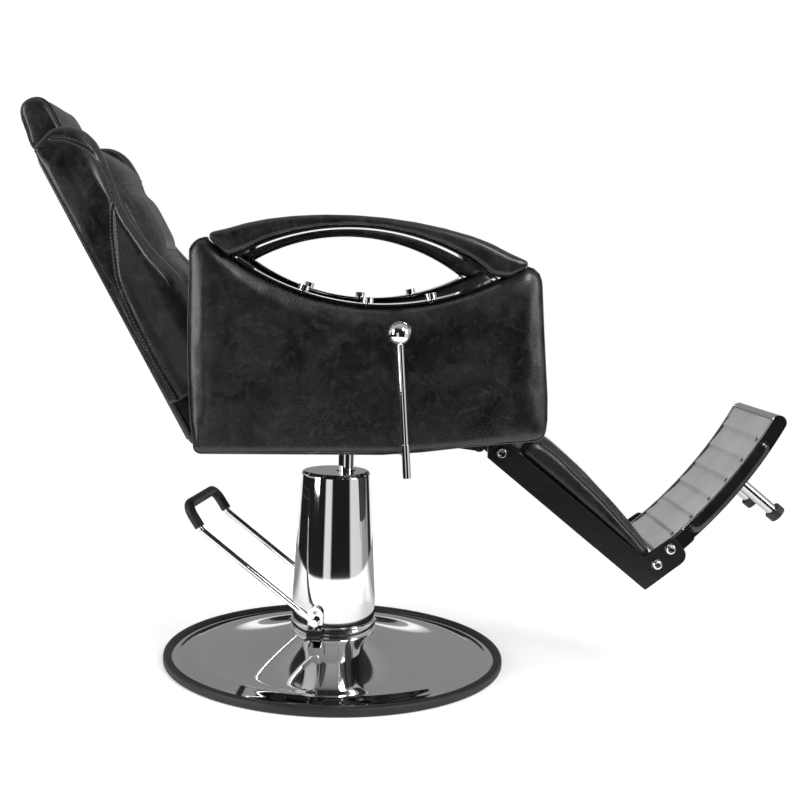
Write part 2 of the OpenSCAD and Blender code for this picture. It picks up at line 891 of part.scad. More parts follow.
module arm_pad_left() {
    arm_pad();
}

module arm_pad_right() {
    mirror([0, 1, 0])
        arm_pad();
}

// ==== recline pivots, release shaft and handle ==========================================
module back_hinge_pins() {
    inner = rail_out;
    plate_out = hinge_plate_y + hinge_plate_t;
    color("gray")
        both_sides()
            at_xz(recline_pivot) {
                bar_y(9, inner - 5, inner - run_gap);
                bar_y(hinge_pin_r, inner - 1, plate_out + 1);
                bar_y(9, inner + lug_plate_t, hinge_plate_y - 0.2);
                bar_y(10, plate_out + 0.3, plate_out + 5);
            }
}

module release_bearings() {
    color("dimgray")
        difference() {
            for (y = [-rail_out - 5, -inner_out - 5, -rail_out + tube, inner_out - tube - 5])
                at_xz([release_x, release_z])
                    bar_y(9, y, y + 5);
            at_xz([release_x, release_z])
                bar_y(release_r + run_gap, -300, 300);
            at_xz([release_x, release_z])
                translate([-20, -400, -27 + 0.5])
                    cube([40, 800, 20 - 0.5]);
        }
}

module release_shaft() {
    color("silver")
        at_xz([release_x, release_z]) {
            bar_y(release_r, -handle_y + handle_sleeve_r + 0.6, inner_out - tube + 10);
            bar_y(2.9, -handle_y + 1, -handle_y + handle_sleeve_r + 1);
            translate([-13, spring_y - 2, -2.5])
                cube([13, 4, 6]);
        }
}

module in_handle() {
    translate([release_x, -handle_y, release_z])
        rotate([0, -handle_tilt, 0])
            children();
}

module handle_sleeve() {
    color("silver")
        difference() {
            in_handle()
                translate([0, 0, -27])
                    cylinder(r = handle_sleeve_r, h = 51);
            in_handle()
                translate([0, 0, 7])
                    cylinder(r = 4 + run_gap, h = 30);
            at_xz([release_x, release_z])
                bar_y(2.9 + run_gap, -handle_y - 2, 0);
        }
}

module handle_rod() {
    color("silver")
        in_handle() {
            translate([0, 0, 24])
                cylinder(r = handle_rod_r, h = handle_len - knob_r + 1 - 24);
            translate([0, 0, 8])
                cylinder(r = 4, h = handle_len - knob_r + 10 - 8);
        }
}

module ball_knob() {
    color("silver")
        difference() {
            in_handle()
                translate([0, 0, handle_len])
                    sphere(r = knob_r);
            in_handle()
                cylinder(r = handle_rod_r + run_gap, h = handle_len - knob_r + 1.2);
            in_handle()
                cylinder(r = 4 + run_gap, h = handle_len - knob_r + 10.5);
        }
}

// ==== gas spring ========================================================================
// The spring's frame: X runs from its rear pin to its front pin
module in_spring() {
    translate([spring_from[0], spring_y, spring_from[1]])
        rotate([0, -spring_angle, 0])
            children();
}

barrel_start = 140;

module gas_spring_rod() {
    color("silver")
        in_spring()
            difference() {
                union() {
                    bar_y(9, -spring_eye_t / 2, spring_eye_t / 2);
                    bar_x(spring_rod_r, 0, barrel_start + 70);
                }
                bar_y(spring_pin_r + run_gap, -20, 20);
            }
}

module gas_spring_barrel() {
    color([0.05, 0.05, 0.05])
        in_spring()
            difference() {
                union() {
                    translate([spring_len, 0, 0])
                        bar_y(9, -spring_eye_t / 2, spring_eye_t / 2);
                    bar_x(5, spring_len - 20, spring_len);
                    bar_x(spring_r, barrel_start, spring_len - 14);
                }
                bar_x(spring_rod_r + run_gap, barrel_start - 1, barrel_start + 85);
                translate([spring_len, 0, 0])
                    bar_y(spring_pin_r + spring_slack, -20, 20);
            }
}

// Bracket on the front of the backrest's board that holds the spring's rear pin
module gas_spring_anchor() {
    half = spring_eye_t / 2 + plate_gap;
    pin = spring_from;
    color("dimgray") {
        in_back()
            translate([board_front_t, spring_y - 20, 22])
                cube([4, 40, 42]);
        for (side = [-1, 1])
            translate([0, spring_y + side * (half + 1.5), 0])
                difference() {
                    union() {
                        at_xz(pin)
                            bar_y(9, -1.5, 1.5);
                        in_back()
                            translate([board_front_t + 0.5, -1.5, hinge_s - 42])
                                cube([10, 3, 55]);
                    }
                    in_back()
                        translate([0, -5, 0])
                            cube([board_front_t, 10, 100]);
                }
        at_xz(pin)
            bar_y(spring_pin_r, spring_y - half - 3.5, spring_y + half + 3.5);
    }
}

// ==== backrest ==========================================================================
module back_shell() {
    color([0.07, 0.07, 0.07])
        in_back()
            difference() {
                rotate([90, 0, 90])
                    linear_extrude(shell_rim)
                        polygon(rounded([
                            [-back_half, 0, 12], [back_half, 0, 12],
                            [back_half, back_len - 9, 30], [-back_half, back_len - 9, 30]]));
                translate([shell_t, -hinge_plate_y - hinge_plate_t - 0.7, -1])
                    cube([shell_rim, 2 * (hinge_plate_y + hinge_plate_t + 0.7), back_len + 10]);
            }
}

module back_board() {
    color("burlywood")
        in_back()
            difference() {
                translate([shell_t, -board_half, 20])
                    cube([back_board_t, 2 * board_half, back_len - 33]);
                both_sides()
                    translate([shell_t - 1, head_post_y - head_post_w / 2 - 4, back_len - 215])
                        cube([back_board_t + 2, head_post_w + 8, 300]);
            }
}

module back_hinge_plates() {
    t0 = shell_t + soft_gap;
    pivot = [hinge_t, hinge_s];
    pin = [hinge_t - crank * sin(back_lean), hinge_s - crank * cos(back_lean)];
    color("dimgray") {
        in_back()
            difference() {
                both_sides()
                    slab(hinge_plate_y, hinge_plate_y + hinge_plate_t)
                        polygon(rounded([
                            [t0, pin[1] + 4, 3], [pin[0] - 9, pin[1] - 11, 8], [pin[0] + 12, pin[1] - 11, 8],
                            [pivot[0] + 15, pivot[1] - 4, 12], [pivot[0] + 9, pivot[1] + 16, 12],
                            [board_front_t, pad_foot_s - 4, 8], [board_front_t, pad_foot_s + 160, 3],
                            [t0, pad_foot_s + 160, 3]]));
                translate([hinge_t, 0, hinge_s])
                    bar_y(hinge_pin_r + run_gap, -300, 300);
            }
        at_xz(link_from)
            bar_y(link_pin_r, link_y - 0.2, hinge_plate_y + EPS);
    }
}

function back_end(u) = pad_end(u, u > 0 ? 4 : 8);

// Depth of the centre cushion's face at s, with its channels
function back_face(s) =
    board_front_t + (back_t + 1 - board_front_t)
        * back_end((s - pad_foot_s) * 2 / (back_len - 11 - pad_foot_s) - 1)
    - 11 * max([for (c = channel_s) max(0, 1 - pow((s - c) / 13, 2))]);

module back_cushion() {
    half = wing_in - 1;
    top = back_len - 11;
    knots = [for (u = stations(10)) pad_foot_s + (top - pad_foot_s) * (u + 1) / 2];
    dips = [for (c = channel_s) each [c - 26, c - 9, c, c + 9, c + 26]];
    rows = sort_up(concat([for (k = knots) if (clear_of_dips(k)) k], dips));
    color([0.07, 0.07, 0.07])
        in_back()
            loft([for (s = rows)
                let (depth = max(8, back_face(s) - board_front_t - soft_gap))
                [for (p = pad_ring(half, depth / 2, 24, 5))
                    let (crown = p[1] > 0 ? 13 * pow(p[0] / half, 2) : 0)
                    [board_front_t + soft_gap + depth / 2 + p[1] - crown, p[0], s]]]);
}

function clear_of_dips(s) = min([for (c = channel_s) abs(s - c)]) > 30;
function sort_up(v) = len(v) < 2 ? v :
    let (m = v[floor(len(v) / 2)])
    concat(sort_up([for (x = v) if (x < m) x]), [for (x = v) if (x == m) x], sort_up([for (x = v) if (x > m) x]));

// Depth of a side wing's face at s: full at the seat, waisted at the ribs, full at the shoulder
wing_knots = [[pad_foot_s, 110], [back_len - 295, back_t + 3], [back_len - 205, 90], [back_len - 150, 88],
    [back_len - 75, back_t - 20], [back_len, back_t - 20]];
function wing_body(s) = mean_of([for (d = [-18:6:18]) lookup(s + d, wing_knots)]);
function mean_of(v) = sum(v) / len(v);
function wing_face(s) =
    let (u = max(0, (s - (back_len - 75)) / 75), v = max(0, (pad_foot_s + 14 - s) / 14))
    board_front_t + (wing_body(s) - board_front_t) * pad_end(u, 2.5) * sqrt(max(0, 1 - v * v));

module wing() {
    mid = (wing_in + back_half) / 2;
    half = (back_half - wing_in) / 2;
    rows = concat([pad_foot_s, pad_foot_s + 2, pad_foot_s + 8],
        [for (k = [0:7]) pad_foot_s + 18 + (back_len - 93 - pad_foot_s) * k / 7],
        [for (w = [22:18:76]) back_len - 75 + 75 * sin(w)], [back_len - 0.7]);
    in_back()
        loft([for (s = rows)
            let (low = board_front_t + soft_gap, depth = max(5, wing_face(s) - low))
            [for (w = [0:18:342])
                let (y = signed_pow(cos(w + 5), 2 / 4), t = signed_pow(sin(w + 5), 2 / (sin(w + 5) > 0 ? 3.2 : 12)))
                [low + depth * (t + 1) / 2, mid + half * y, s]]]);
}

module back_wing_left() {
    color([0.07, 0.07, 0.07])
        wing();
}

module back_wing_right() {
    color([0.07, 0.07, 0.07])
        mirror([0, 1, 0])
            wing();
}

head_post_t0 = shell_t + back_board_t / 2 - head_post_t / 2;

module headrest_sockets() {
    color("dimgray")
        in_back()
            both_sides()
                difference() {
                    translate([shell_t + soft_gap, head_post_y - head_post_w / 2 - 3.5, back_len - 210])
                        cube([back_board_t - 2 * soft_gap, head_post_w + 7, 200]);
                    translate([head_post_t0 - run_gap, head_post_y - head_post_w / 2 - run_gap, back_len - 211])
                        cube([head_post_t + 2 * run_gap, head_post_w + 2 * run_gap, 202]);
                }
}

module headrest_posts() {
    color("silver")
        in_back()
            both_sides()
                translate([head_post_t0, head_post_y - head_post_w / 2, back_len - 190])
                    cube([head_post_t, head_post_w, 190 + head_h / 2]);
}

module headrest_pad() {
    profile = rounded([
        [head_t0, head_s + 1, 9], [head_t1 + 2, head_s + 1, 12],
        [head_t1 - 20, head_s + head_h - 3, 26], [head_t0 + 14, head_s + head_h + 2, 22]], 5);
    mid = mean(profile);
    color([0.07, 0.07, 0.07])
        in_back()
            difference() {
                loft([for (u = [for (v = stations(15)) -v])
                    let (e = pad_end(u, 6))
                    [for (p = profile) let (q = mid + (p - mid) * (0.55 + 0.45 * e)) [q[0], u * head_w / 2, q[1]]]]);
                both_sides()
                    translate([head_post_t0 - soft_gap, head_post_y - head_post_w / 2 - soft_gap, 0])
                        cube([head_post_t + 2 * soft_gap, head_post_w + 2 * soft_gap, back_len + head_h / 2 + soft_gap]);
            }
}

// ==== link bar ==========================================================================
module link_bar() {
    color("dimgray")
        translate([link_from[0], 0, link_from[1]])
            rotate([0, -link_angle, 0])
                difference() {
                    union() {
                        slab(link_y, link_y + link_t)
                            translate([0, -link_r])
                                square([link_len, 2 * link_r]);
                        bar_y(link_r, link_y, link_y + link_t);
                        translate([link_len, 0, 0])
                            bar_y(link_r, link_y, link_y + link_t);
                    }
                    bar_y(link_pin_r + 0.1, 0, 300);
                    translate([link_len, 0, 0])
                        bar_y(link_pin_r + 0.1, 0, 300);
                }
}

// ==== leg rest ==========================================================================
module leg_arm(side) {
    slant = 0.229;                       // the ear leans down the arm by this much per rise
    end_x = leg_len + 14.5;
    z0 = -leg_depth / 2 - 1.5;
    z1 = leg_depth / 2 - 1;
    color([0.03, 0.03, 0.03])
        in_leg()
            difference() {
                mirror([0, side < 0 ? 1 : 0, 0])
                    slab(leg_in, leg_half)
                        polygon(rounded([
                            [-12.5, z0, 2], [end_x, z0, 3], [end_x + slant * (70 - z0), 70, 18],
                            [end_x + slant * (79 - z0) - 47, 79, 10], [end_x + slant * (z1 - z0) - 49, z1, 5],
                            [-18, z1, 9], [-28, -2, 8]]));
                bar_y(leg_shaft_r + run_gap, -200, 200);
                for (z = ear_bolt_z)
                    translate([leg_len, 0, z])
                        bar_y(5 + run_gap, -200, 200);
            }
}

module leg_arm_right() {
    leg_arm(-1);
}

module leg_arm_left() {
    leg_arm(1);
}

// Shaft through the leg rest's arms, with the crank that the link bar drives
module leg_shaft() {
    crank_in = hinge_plate_y;
    color("gray") {
        at_xz(leg_pivot) {
            bar_y(leg_shaft_r, -leg_half - 1, crank_in + 5);
            bar_y(9.5, -leg_half - 3.5, -leg_half - 0.3);
            bar_y(13, leg_half + 0.3, leg_half + 6);
        }
        slab(crank_in, crank_in + 5)
            polygon(rounded([
                [link_to[0] - 9, link_to[1] - 9, 8], [link_to[0] + 9, link_to[1] - 9, 8],
                [leg_pivot[0] + 13, leg_pivot[1] + 13, 12], [leg_pivot[0] - 13, leg_pivot[1] + 13, 12]]));
        at_xz(link_to)
            bar_y(link_pin_r, link_y - 0.2, crank_in + EPS);
    }
}

pad_x0 = 26;
pad_x1 = leg_len - 16;

module calf_board() {
    color("burlywood")
        in_leg()
            translate([pad_x0 + 8, -leg_in + soft_gap, 0])
                cube([pad_x1 - pad_x0 - 16, 2 * (leg_in - soft_gap), 12]);
}

// Height of the calf pad's face: thick at the knee, thin at the foot
function calf_face(x) =
    let (u = (x - pad_x0) / (pad_x1 - pad_x0))
    66 - 31 * pow(max(0, u), 2.1);

module calf_pad() {
    low = 12 + soft_gap;
    half = leg_in - 1.5;
    color([0.07, 0.07, 0.07])
        in_leg()
            loft([for (u = stations(15))
                let (x = pad_x0 + (pad_x1 - pad_x0) * (u + 1) / 2, e = pad_end(u, 7))
                let (depth = (calf_face(x) - low) * (0.25 + 0.75 * e))
                [for (p = pad_ring(half * (0.93 + 0.07 * e), depth / 2, 24, 5))
                    [x, p[0], low + depth / 2 + p[1] - 2 * (p[1] > 0 ? pow(p[0] / half, 2) : 0)]]]);
}

// Side view between radius r0 and r1 of the footplate's bend, from z0 to z1
module foot_sector(r0, r1, z0, z1) {
    intersection() {
        difference() {
            translate(tread_c)
                circle(r = r1, $fn = 360);
            translate(tread_c)
                circle(r = r0, $fn = 360);
        }
        translate([leg_len - 60, z0])
            square([200, z1 - z0]);
    }
}

tray_z0 = tray_foot_z;
tray_z1 = tray_foot_z + tread_h;
function tread_at(z, r) = [tread_c[0] + sqrt(r * r - pow(z - tread_c[1], 2)), z];

module foot_tray() {
    color("silver")
        in_leg() {
            difference() {
                slab(-tray_half, tray_half)
                    foot_sector(tread_r, tread_r + tray_t, tray_z0, tray_z1);
                slab(-tray_half + tray_wall, tray_half - tray_wall)
                    foot_sector(tread_r - 1, tread_r + tray_t - tray_wall, tray_z0 + tray_wall, tray_z1 - tray_wall);
                for (y = [-post_y, post_y])
                    translate([0, y, post_z])
                        bar_x(5 + run_gap, leg_len, leg_len + 60);
            }
            at_xz(tread_at(tray_z1, tread_r + tray_t / 2))
                difference() {
                    bar_y(tray_t / 2, -tray_half, tray_half);
                    translate([-50, -200, -50])
                        cube([100, 400, 50 - EPS]);
                }
        }
}

// Ribbed tread plate set into the front of the tray
module foot_tread() {
    rib_r = 1.8;
    z0 = tray_z0 + tray_wall + soft_gap;
    z1 = tray_z1 - tray_wall - soft_gap;
    half = tray_half - tray_wall - soft_gap;
    color([0.6, 0.6, 0.6])
        in_leg() {
            slab(-half, half)
                foot_sector(tread_r, tread_r + tread_t, z0, z1);
            for (k = [1:tread_steps - 1]) {
                z = z0 + (z1 - z0) * k / tread_steps;
                at_xz(tread_at(z, tread_r + 0.6))
                    bar_y(rib_r, -half + 5, half - 5);
            }
        }
}

module foot_posts() {
    seat_x = tread_at(post_z - post_r - 6, tread_r + tray_t)[0] + run_gap;
    color("silver")
        in_leg()
            for (y = [-post_y, post_y])
                translate([0, y, post_z]) {
                    bar_x(post_r, seat_x, post_end_x);
                    bar_x(post_r + 6, seat_x, seat_x + 3);
                    bar_x(5, seat_x - 3.5, seat_x + 1);
                }
}

module foot_caps() {
    color([0.03, 0.03, 0.03])
        in_leg()
            for (y = [-post_y, post_y])
                translate([0, y, post_z])
                    difference() {
                        bar_x(cap_r, post_end_x - cap_h + 3, post_end_x + 3);
                        bar_x(post_r + run_gap, post_end_x - cap_h, post_end_x + 0.1);
                    }
}

// Plates that carry the tray between the ears of the arms
module foot_brackets() {
    color("silver")
        in_leg()
            both_sides()
                difference() {
                    slab(tray_half + soft_gap, leg_in - soft_gap)
                        polygon(rounded([
                            [leg_len - 14, ear_bolt_z[0] - 13, 8], [leg_len + 12, ear_bolt_z[0] - 13, 8],
                            [leg_len + 24, ear_bolt_z[1] + 44, 8], [leg_len - 2, ear_bolt_z[1] + 44, 8]]));
                    for (z = ear_bolt_z)
                        translate([leg_len, 0, z])
                            bar_y(5 + run_gap, -200, 200);
                }
}

module foot_bolts() {
    color("silver")
        in_leg()
            both_sides()
                for (z = ear_bolt_z)
                    translate([leg_len, 0, z]) {
                        bar_y(9, leg_half + 0.1, leg_half + 2);
                        bar_y(6, leg_half + 1, leg_half + 7);
                        bar_y(5, tray_half + 0.5, leg_half + 3);
                    }
}

base_disc();
base_edging();
base_stiffener();
base_bolts();
pump_flange();
pump_cylinder();
pump_head();
column_cover();
lever_brackets();
lever_pins();
lever_rod();
lever_grip();
piston_rod();
swivel_hub();
mount_plate();
mount_bolts();
seat_frame();
seat_board();
seat_cushion();
side_brackets();
side_panel_right();
side_panel_left();
arm_band_right();
arm_band_left();
arm_pad_right();
arm_pad_left();
arm_bolts();
back_hinge_pins();
release_bearings();
release_shaft();
handle_rod();
handle_sleeve();
ball_knob();
gas_spring_barrel();
gas_spring_anchor();
gas_spring_rod();
back_shell();
back_board();
back_hinge_plates();
back_cushion();
back_wing_right();
back_wing_left();
headrest_sockets();
headrest_pad();
headrest_posts();
link_bar();
leg_arm_right();
leg_arm_left();
leg_shaft();
calf_board();
calf_pad();
foot_brackets();
foot_bolts();
foot_tray();
foot_tread();
foot_posts();
foot_caps();
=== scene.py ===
"""Hydraulic barber chair: the finish of every piece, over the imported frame.

Metres. +X is the way the sitter faces, +Y the sitter's left, +Z up.
"""

import json
import math

import bmesh
import bpy
import numpy as np
from mathutils import Matrix, Vector, noise
from mathutils.bvhtree import BVHTree


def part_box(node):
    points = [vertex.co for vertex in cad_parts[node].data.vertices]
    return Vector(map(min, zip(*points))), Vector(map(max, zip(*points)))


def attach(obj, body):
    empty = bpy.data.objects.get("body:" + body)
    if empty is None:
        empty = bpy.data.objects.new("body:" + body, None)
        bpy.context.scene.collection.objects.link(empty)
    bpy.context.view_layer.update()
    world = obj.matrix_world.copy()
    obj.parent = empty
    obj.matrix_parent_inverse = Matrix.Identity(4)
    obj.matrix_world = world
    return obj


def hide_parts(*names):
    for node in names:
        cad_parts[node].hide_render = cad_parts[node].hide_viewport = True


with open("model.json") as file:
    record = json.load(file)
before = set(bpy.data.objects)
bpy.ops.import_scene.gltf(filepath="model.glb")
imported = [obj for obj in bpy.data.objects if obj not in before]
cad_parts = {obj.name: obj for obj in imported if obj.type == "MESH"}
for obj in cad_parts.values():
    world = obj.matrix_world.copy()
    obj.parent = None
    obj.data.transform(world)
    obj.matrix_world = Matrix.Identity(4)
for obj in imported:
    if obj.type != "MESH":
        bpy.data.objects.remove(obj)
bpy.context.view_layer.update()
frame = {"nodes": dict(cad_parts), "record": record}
nodes = frame["nodes"]
scene = bpy.context.scene

# ---- the chair's own frames ----------------------------------------------------------------
BACK_LEAN = math.radians(28.4)
LEG_FALL = math.radians(39)
# Backrest: X out of its rear face (t), Z up its slope (s)
BACK = Matrix.Translation((-0.231, 0, 0.400)) @ Matrix.Rotation(-BACK_LEAN, 4, "Y")
BACK_LENGTH = 0.545
CHANNEL_PITCH = 0.224            # between the cushion's cross channels, as a share of its length
# Leg rest: X down the arm from its pivot, Z out of the calf pad
LEG_LEN = 0.3255                 # from the pivot to the footplate's bolts
LEG_PIVOT = Vector((0.275, 0, 0.390))
LEG = Matrix.Translation(LEG_PIVOT) @ Matrix.Rotation(LEG_FALL, 4, "Y")
WORLD = Matrix.Identity(4)

SEAT_HALF = 0.214                # inner face of a side panel
PANEL_T = 0.052
PANEL_MID = SEAT_HALF + PANEL_T / 2
RIM_CENTRE = (0.040, 0.493)      # (X, Z) inside a panel's outline; its rim is ordered round this
SEAM_SIDE = 0.0042               # from a seam to the thread or welt beside it
INTO_BACK = BACK.to_3x3() @ Vector((-1, 0, 0))


def mirror_sides():
    return (("right", -1), ("left", 1))


# ---- camera --------------------------------------------------------------------------------
def make_camera():
    data = bpy.data.cameras.new("camera")
    data.lens = 54.42
    data.sensor_width = 36
    data.shift_x = 0.06
    data.clip_end = 50
    camera = bpy.data.objects.new("camera", data)
    right = Vector((0.99967, -0.01751, 0.01909))
    up = Vector((-0.01715, 0.10527, 0.99430))
    back = -Vector((0.01942, 0.99429, -0.10493))
    turn = Matrix((right, up, back)).transposed()
    camera.matrix_world = Matrix.Translation((-0.0152, -2.1033, 0.6845)) @ turn.to_4x4()
    scene.collection.objects.link(camera)
    scene.camera = camera


# ---- materials -----------------------------------------------------------------------------
class Shader:
    """A material whose nodes are added by short calls and joined to its Principled BSDF."""

    def __init__(self, name, **sockets):
        self.material = bpy.data.materials.new(name)
        self.material.use_nodes = True
        self.tree = self.material.node_tree
        self.bsdf = self.tree.nodes["Principled BSDF"]
        for key, value in sockets.items():
            self.bsdf.inputs[key.replace("_", " ")].default_value = value
        self.coords = self.add("ShaderNodeTexCoord").outputs["Object"]

    def add(self, kind, inputs=None, **props):
        node = self.tree.nodes.new(kind)
        for key, value in props.items():
            setattr(node, key, value)
        for key, value in (inputs or {}).items():
            if isinstance(value, bpy.types.NodeSocket):
                self.tree.links.new(value, node.inputs[key])
            else:
                node.inputs[key].default_value = value
        return node

    def link(self, socket, name):
        self.tree.links.new(socket, self.bsdf.inputs[name])

    def noise(self, scale, detail=4.0, rough=0.55, distortion=0.0, vector=None):
        return self.add("ShaderNodeTexNoise", {
            "Vector": vector or self.coords, "Scale": scale, "Detail": detail,
            "Roughness": rough, "Distortion": distortion}).outputs["Fac"]

    def stretched(self, x, y, z):
        return self.add("ShaderNodeMapping", {"Vector": self.coords, "Scale": (x, y, z)}).outputs["Vector"]

    def ramp(self, fac, stops):
        node = self.add("ShaderNodeValToRGB", {"Fac": fac})
        ramp = node.color_ramp
        while len(ramp.elements) < len(stops):
            ramp.elements.new(0.5)
        for element, (place, value) in zip(ramp.elements, stops):
            element.position = place
            element.color = (*value, 1) if isinstance(value, tuple) else (value, value, value, 1)
        return node.outputs["Color"]

    def span(self, fac, low, high):
        """fac from 0..1 as a value from low to high."""
        return self.add("ShaderNodeMapRange", {"Value": fac, "To Min": low, "To Max": high}).outputs["Result"]

    def math(self, operation, a, b=0.5):
        return self.add("ShaderNodeMath", {0: a, 1: b}, operation=operation).outputs[0]

    def mix(self, fac, a, b):
        node = self.add("ShaderNodeMix", {"Factor": fac}, data_type="RGBA")
        for index, value in ((6, a), (7, b)):
            if isinstance(value, bpy.types.NodeSocket):
                self.tree.links.new(value, node.inputs[index])
            else:
                node.inputs[index].default_value = (*value, 1)
        return node.outputs[2]

    def bump(self, height, depth, strength=1.0, normal=None):
        inputs = {"Height": height, "Distance": depth, "Strength": strength}
        if normal is not None:
            inputs["Normal"] = normal
        return self.add("ShaderNodeBump", inputs).outputs["Normal"]

    def round_edges(self, radius):
        return self.add("ShaderNodeBevel", {"Radius": radius}, samples=6).outputs["Normal"]


def leather():
    s = Shader("leather", Roughness=0.32, Coat_Weight=0.25, Coat_Roughness=0.18, Specular_IOR_Level=0.42)
    clouds = s.noise(13, 7, 0.62, 0.9)
    streaks = s.noise(34, 6, 0.6, 1.6)
    warped = s.add("ShaderNodeVectorMath", {0: s.coords, 1: s.mix(
        0.045, (0, 0, 0), s.add("ShaderNodeTexNoise", {"Vector": s.coords, "Scale": 22.0}).outputs["Color"])},
        operation="ADD").outputs["Vector"]
    veins = s.add("ShaderNodeTexVoronoi", {"Vector": warped, "Scale": 74.0},
                  feature="DISTANCE_TO_EDGE").outputs["Distance"]
    vein_mask = s.math("MULTIPLY", s.ramp(veins, [(0.0, 1.0), (0.07, 0.0)]),
                       s.ramp(s.noise(9), [(0.48, 0.0), (0.72, 1.0)]))
    base = s.mix(s.ramp(clouds, [(0.38, 0.0), (0.68, 1.0)]), (0.0035, 0.0035, 0.0037), (0.0150, 0.0150, 0.0155))
    base = s.mix(s.math("MULTIPLY", s.ramp(streaks, [(0.50, 0.0), (0.72, 1.0)]), 0.6), base, (0.032, 0.032, 0.033))
    base = s.mix(s.math("MULTIPLY", vein_mask, 0.3), base, (0.045, 0.045, 0.046))
    s.link(base, "Base Color")
    s.link(s.span(clouds, 0.20, 0.42), "Roughness")
    pebble = s.add("ShaderNodeTexVoronoi", {"Vector": s.coords, "Scale": 760.0}, feature="F1").outputs["Distance"]
    creases = s.noise(95, 9, 0.66, 0.5)
    normal = s.bump(creases, 0.0007, 0.45)
    normal = s.bump(pebble, 0.00022, 0.5, normal)
    s.link(normal, "Normal")
    return s.material


def piping_leather():
    s = Shader("piping_leather", Roughness=0.3, Coat_Weight=0.4, Coat_Roughness=0.2)
    s.link(s.ramp(s.noise(40, 5), [(0.3, 0.008), (0.75, 0.026)]), "Base Color")
    s.link(s.bump(s.noise(420, 4), 0.0003, 0.5), "Normal")
    return s.material


def thread():
    s = Shader("thread", Roughness=0.4)
    s.link(s.ramp(s.noise(900, 2), [(0.3, 0.035), (0.7, 0.09)]), "Base Color")
    return s.material


def chrome(name="chrome", tone=0.90, rough=0.035):
    s = Shader(name, Metallic=1.0, Roughness=rough)
    s.link(s.ramp(s.noise(6, 3), [(0.3, (tone * 0.97, tone * 0.98, tone)), (0.7, (tone, tone, tone))]), "Base Color")
    smudge = s.noise(16, 6, 0.65, 0.4)
    s.link(s.span(smudge, rough * 0.5, rough * 1.7), "Roughness")
    return s.material


def rubber():
    s = Shader("rubber", Roughness=0.5)
    s.link(s.ramp(s.noise(30, 6), [(0.3, 0.008), (0.75, 0.018)]), "Base Color")
    s.link(s.span(s.noise(60, 4), 0.42, 0.6), "Roughness")
    s.link(s.bump(s.noise(850, 3), 0.00025, 0.6), "Normal")
    return s.material


def powder_coat():
    s = Shader("powder_coat", Roughness=0.36, Coat_Weight=0.1, Coat_Roughness=0.12, Specular_IOR_Level=0.3)
    s.link(s.ramp(s.noise(18, 6), [(0.3, 0.0035), (0.8, 0.0085)]), "Base Color")
    s.link(s.span(s.noise(120, 5), 0.26, 0.44), "Roughness")
    s.link(s.bump(s.noise(620, 3), 0.00012, 0.5, s.round_edges(0.0026)), "Normal")
    return s.material


def bare_steel():
    s = Shader("bare_steel", Metallic=1.0, Roughness=0.28)
    lines = s.noise(1.0, 6, 0.6, 0.0, s.stretched(90, 90, 1400))
    s.link(s.ramp(lines, [(0.3, (0.40, 0.41, 0.42)), (0.75, (0.62, 0.62, 0.63))]), "Base Color")
    s.link(s.span(lines, 0.18, 0.4), "Roughness")
    s.link(s.bump(lines, 0.00008, 0.5, s.round_edges(0.0008)), "Normal")
    return s.material


def tread_metal():
    s = Shader("tread_metal", Metallic=0.35, Roughness=0.5)
    s.link(s.ramp(s.noise(14, 6, 0.6, 0.4), [(0.3, (0.42, 0.42, 0.43)), (0.75, (0.52, 0.52, 0.53))]), "Base Color")
    brushed = s.noise(1.0, 5, 0.6, 0.0, s.stretched(800, 40, 800))
    s.link(s.span(brushed, 0.42, 0.6), "Roughness")
    s.link(s.bump(brushed, 0.0001, 0.4), "Normal")
    return s.material


def plywood():
    s = Shader("plywood", Roughness=0.6)
    grain = s.noise(1.0, 8, 0.65, 1.2, s.stretched(12, 190, 190))
    s.link(s.ramp(grain, [(0.3, (0.012, 0.010, 0.008)), (0.7, (0.030, 0.025, 0.020))]), "Base Color")
    s.link(s.bump(grain, 0.0003, 0.5), "Normal")
    return s.material


# Glossy black for the pivot cap and the tray bands, and painted shade in the tread's gaps and the bolts' sockets.
def dark_trim_and_shade():
    s = Shader("dark_trim_and_shade", Roughness=0.14, Coat_Weight=0.5, Coat_Roughness=0.06)
    s.link(s.ramp(s.noise(25, 4), [(0.3, 0.006), (0.75, 0.012)]), "Base Color")
    s.link(s.span(s.noise(70, 4), 0.1, 0.2), "Roughness")
    return s.material


MATERIALS = {
    "chrome": chrome(), "satin": chrome("satin_chrome", 0.60, 0.14), "black_rubber": rubber(),
    "black_leather": leather(), "black_steel": powder_coat(),
    "bare_steel": bare_steel(), "tread_metal": tread_metal(), "plywood": plywood(),
    "piping": piping_leather(), "thread": thread(), "dark_trim_and_shade": dark_trim_and_shade(),
}


def dress_nodes():
    slots = {part["node"]: part["material_slot"] for part in frame["record"]["subparts"]}
    slots["leg_shaft"] = "black_steel"       # its ends are blacked like the arms they show against
    slots["foot_posts"] = "satin"            # duller than the chrome
    slots["lever_brackets"] = "chrome"       # bright beside the pump lever's pin
    for name, obj in nodes.items():
        for slot in obj.material_slots:
            slot.material = MATERIALS[slots[name]]


# ---- mesh tools ----------------------------------------------------------------------------
def new_piece(name, mesh, body, slot, material=None):
    for polygon in mesh.polygons:
        polygon.use_smooth = True
    mesh.materials.clear()
    mesh.materials.append(MATERIALS[material or slot])
    obj = bpy.data.objects.new(name, mesh)
    scene.collection.objects.link(obj)
    obj["body_name"] = body
    return obj


def build(name, verts, faces, body, slot, material=None, place=WORLD):
    mesh = bpy.data.meshes.new(name)
    mesh.from_pydata([place @ Vector(v) for v in verts], [], faces)
    mesh.update()
    piece = new_piece(name, mesh, body, slot, material)
    ride(piece)
    return piece


def ride(piece):
    body = piece["body_name"]
    del piece["body_name"]
    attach(piece, body)


def evaluated(obj):
    graph = bpy.context.evaluated_depsgraph_get()
    return bpy.data.meshes.new_from_object(obj.evaluated_get(graph))


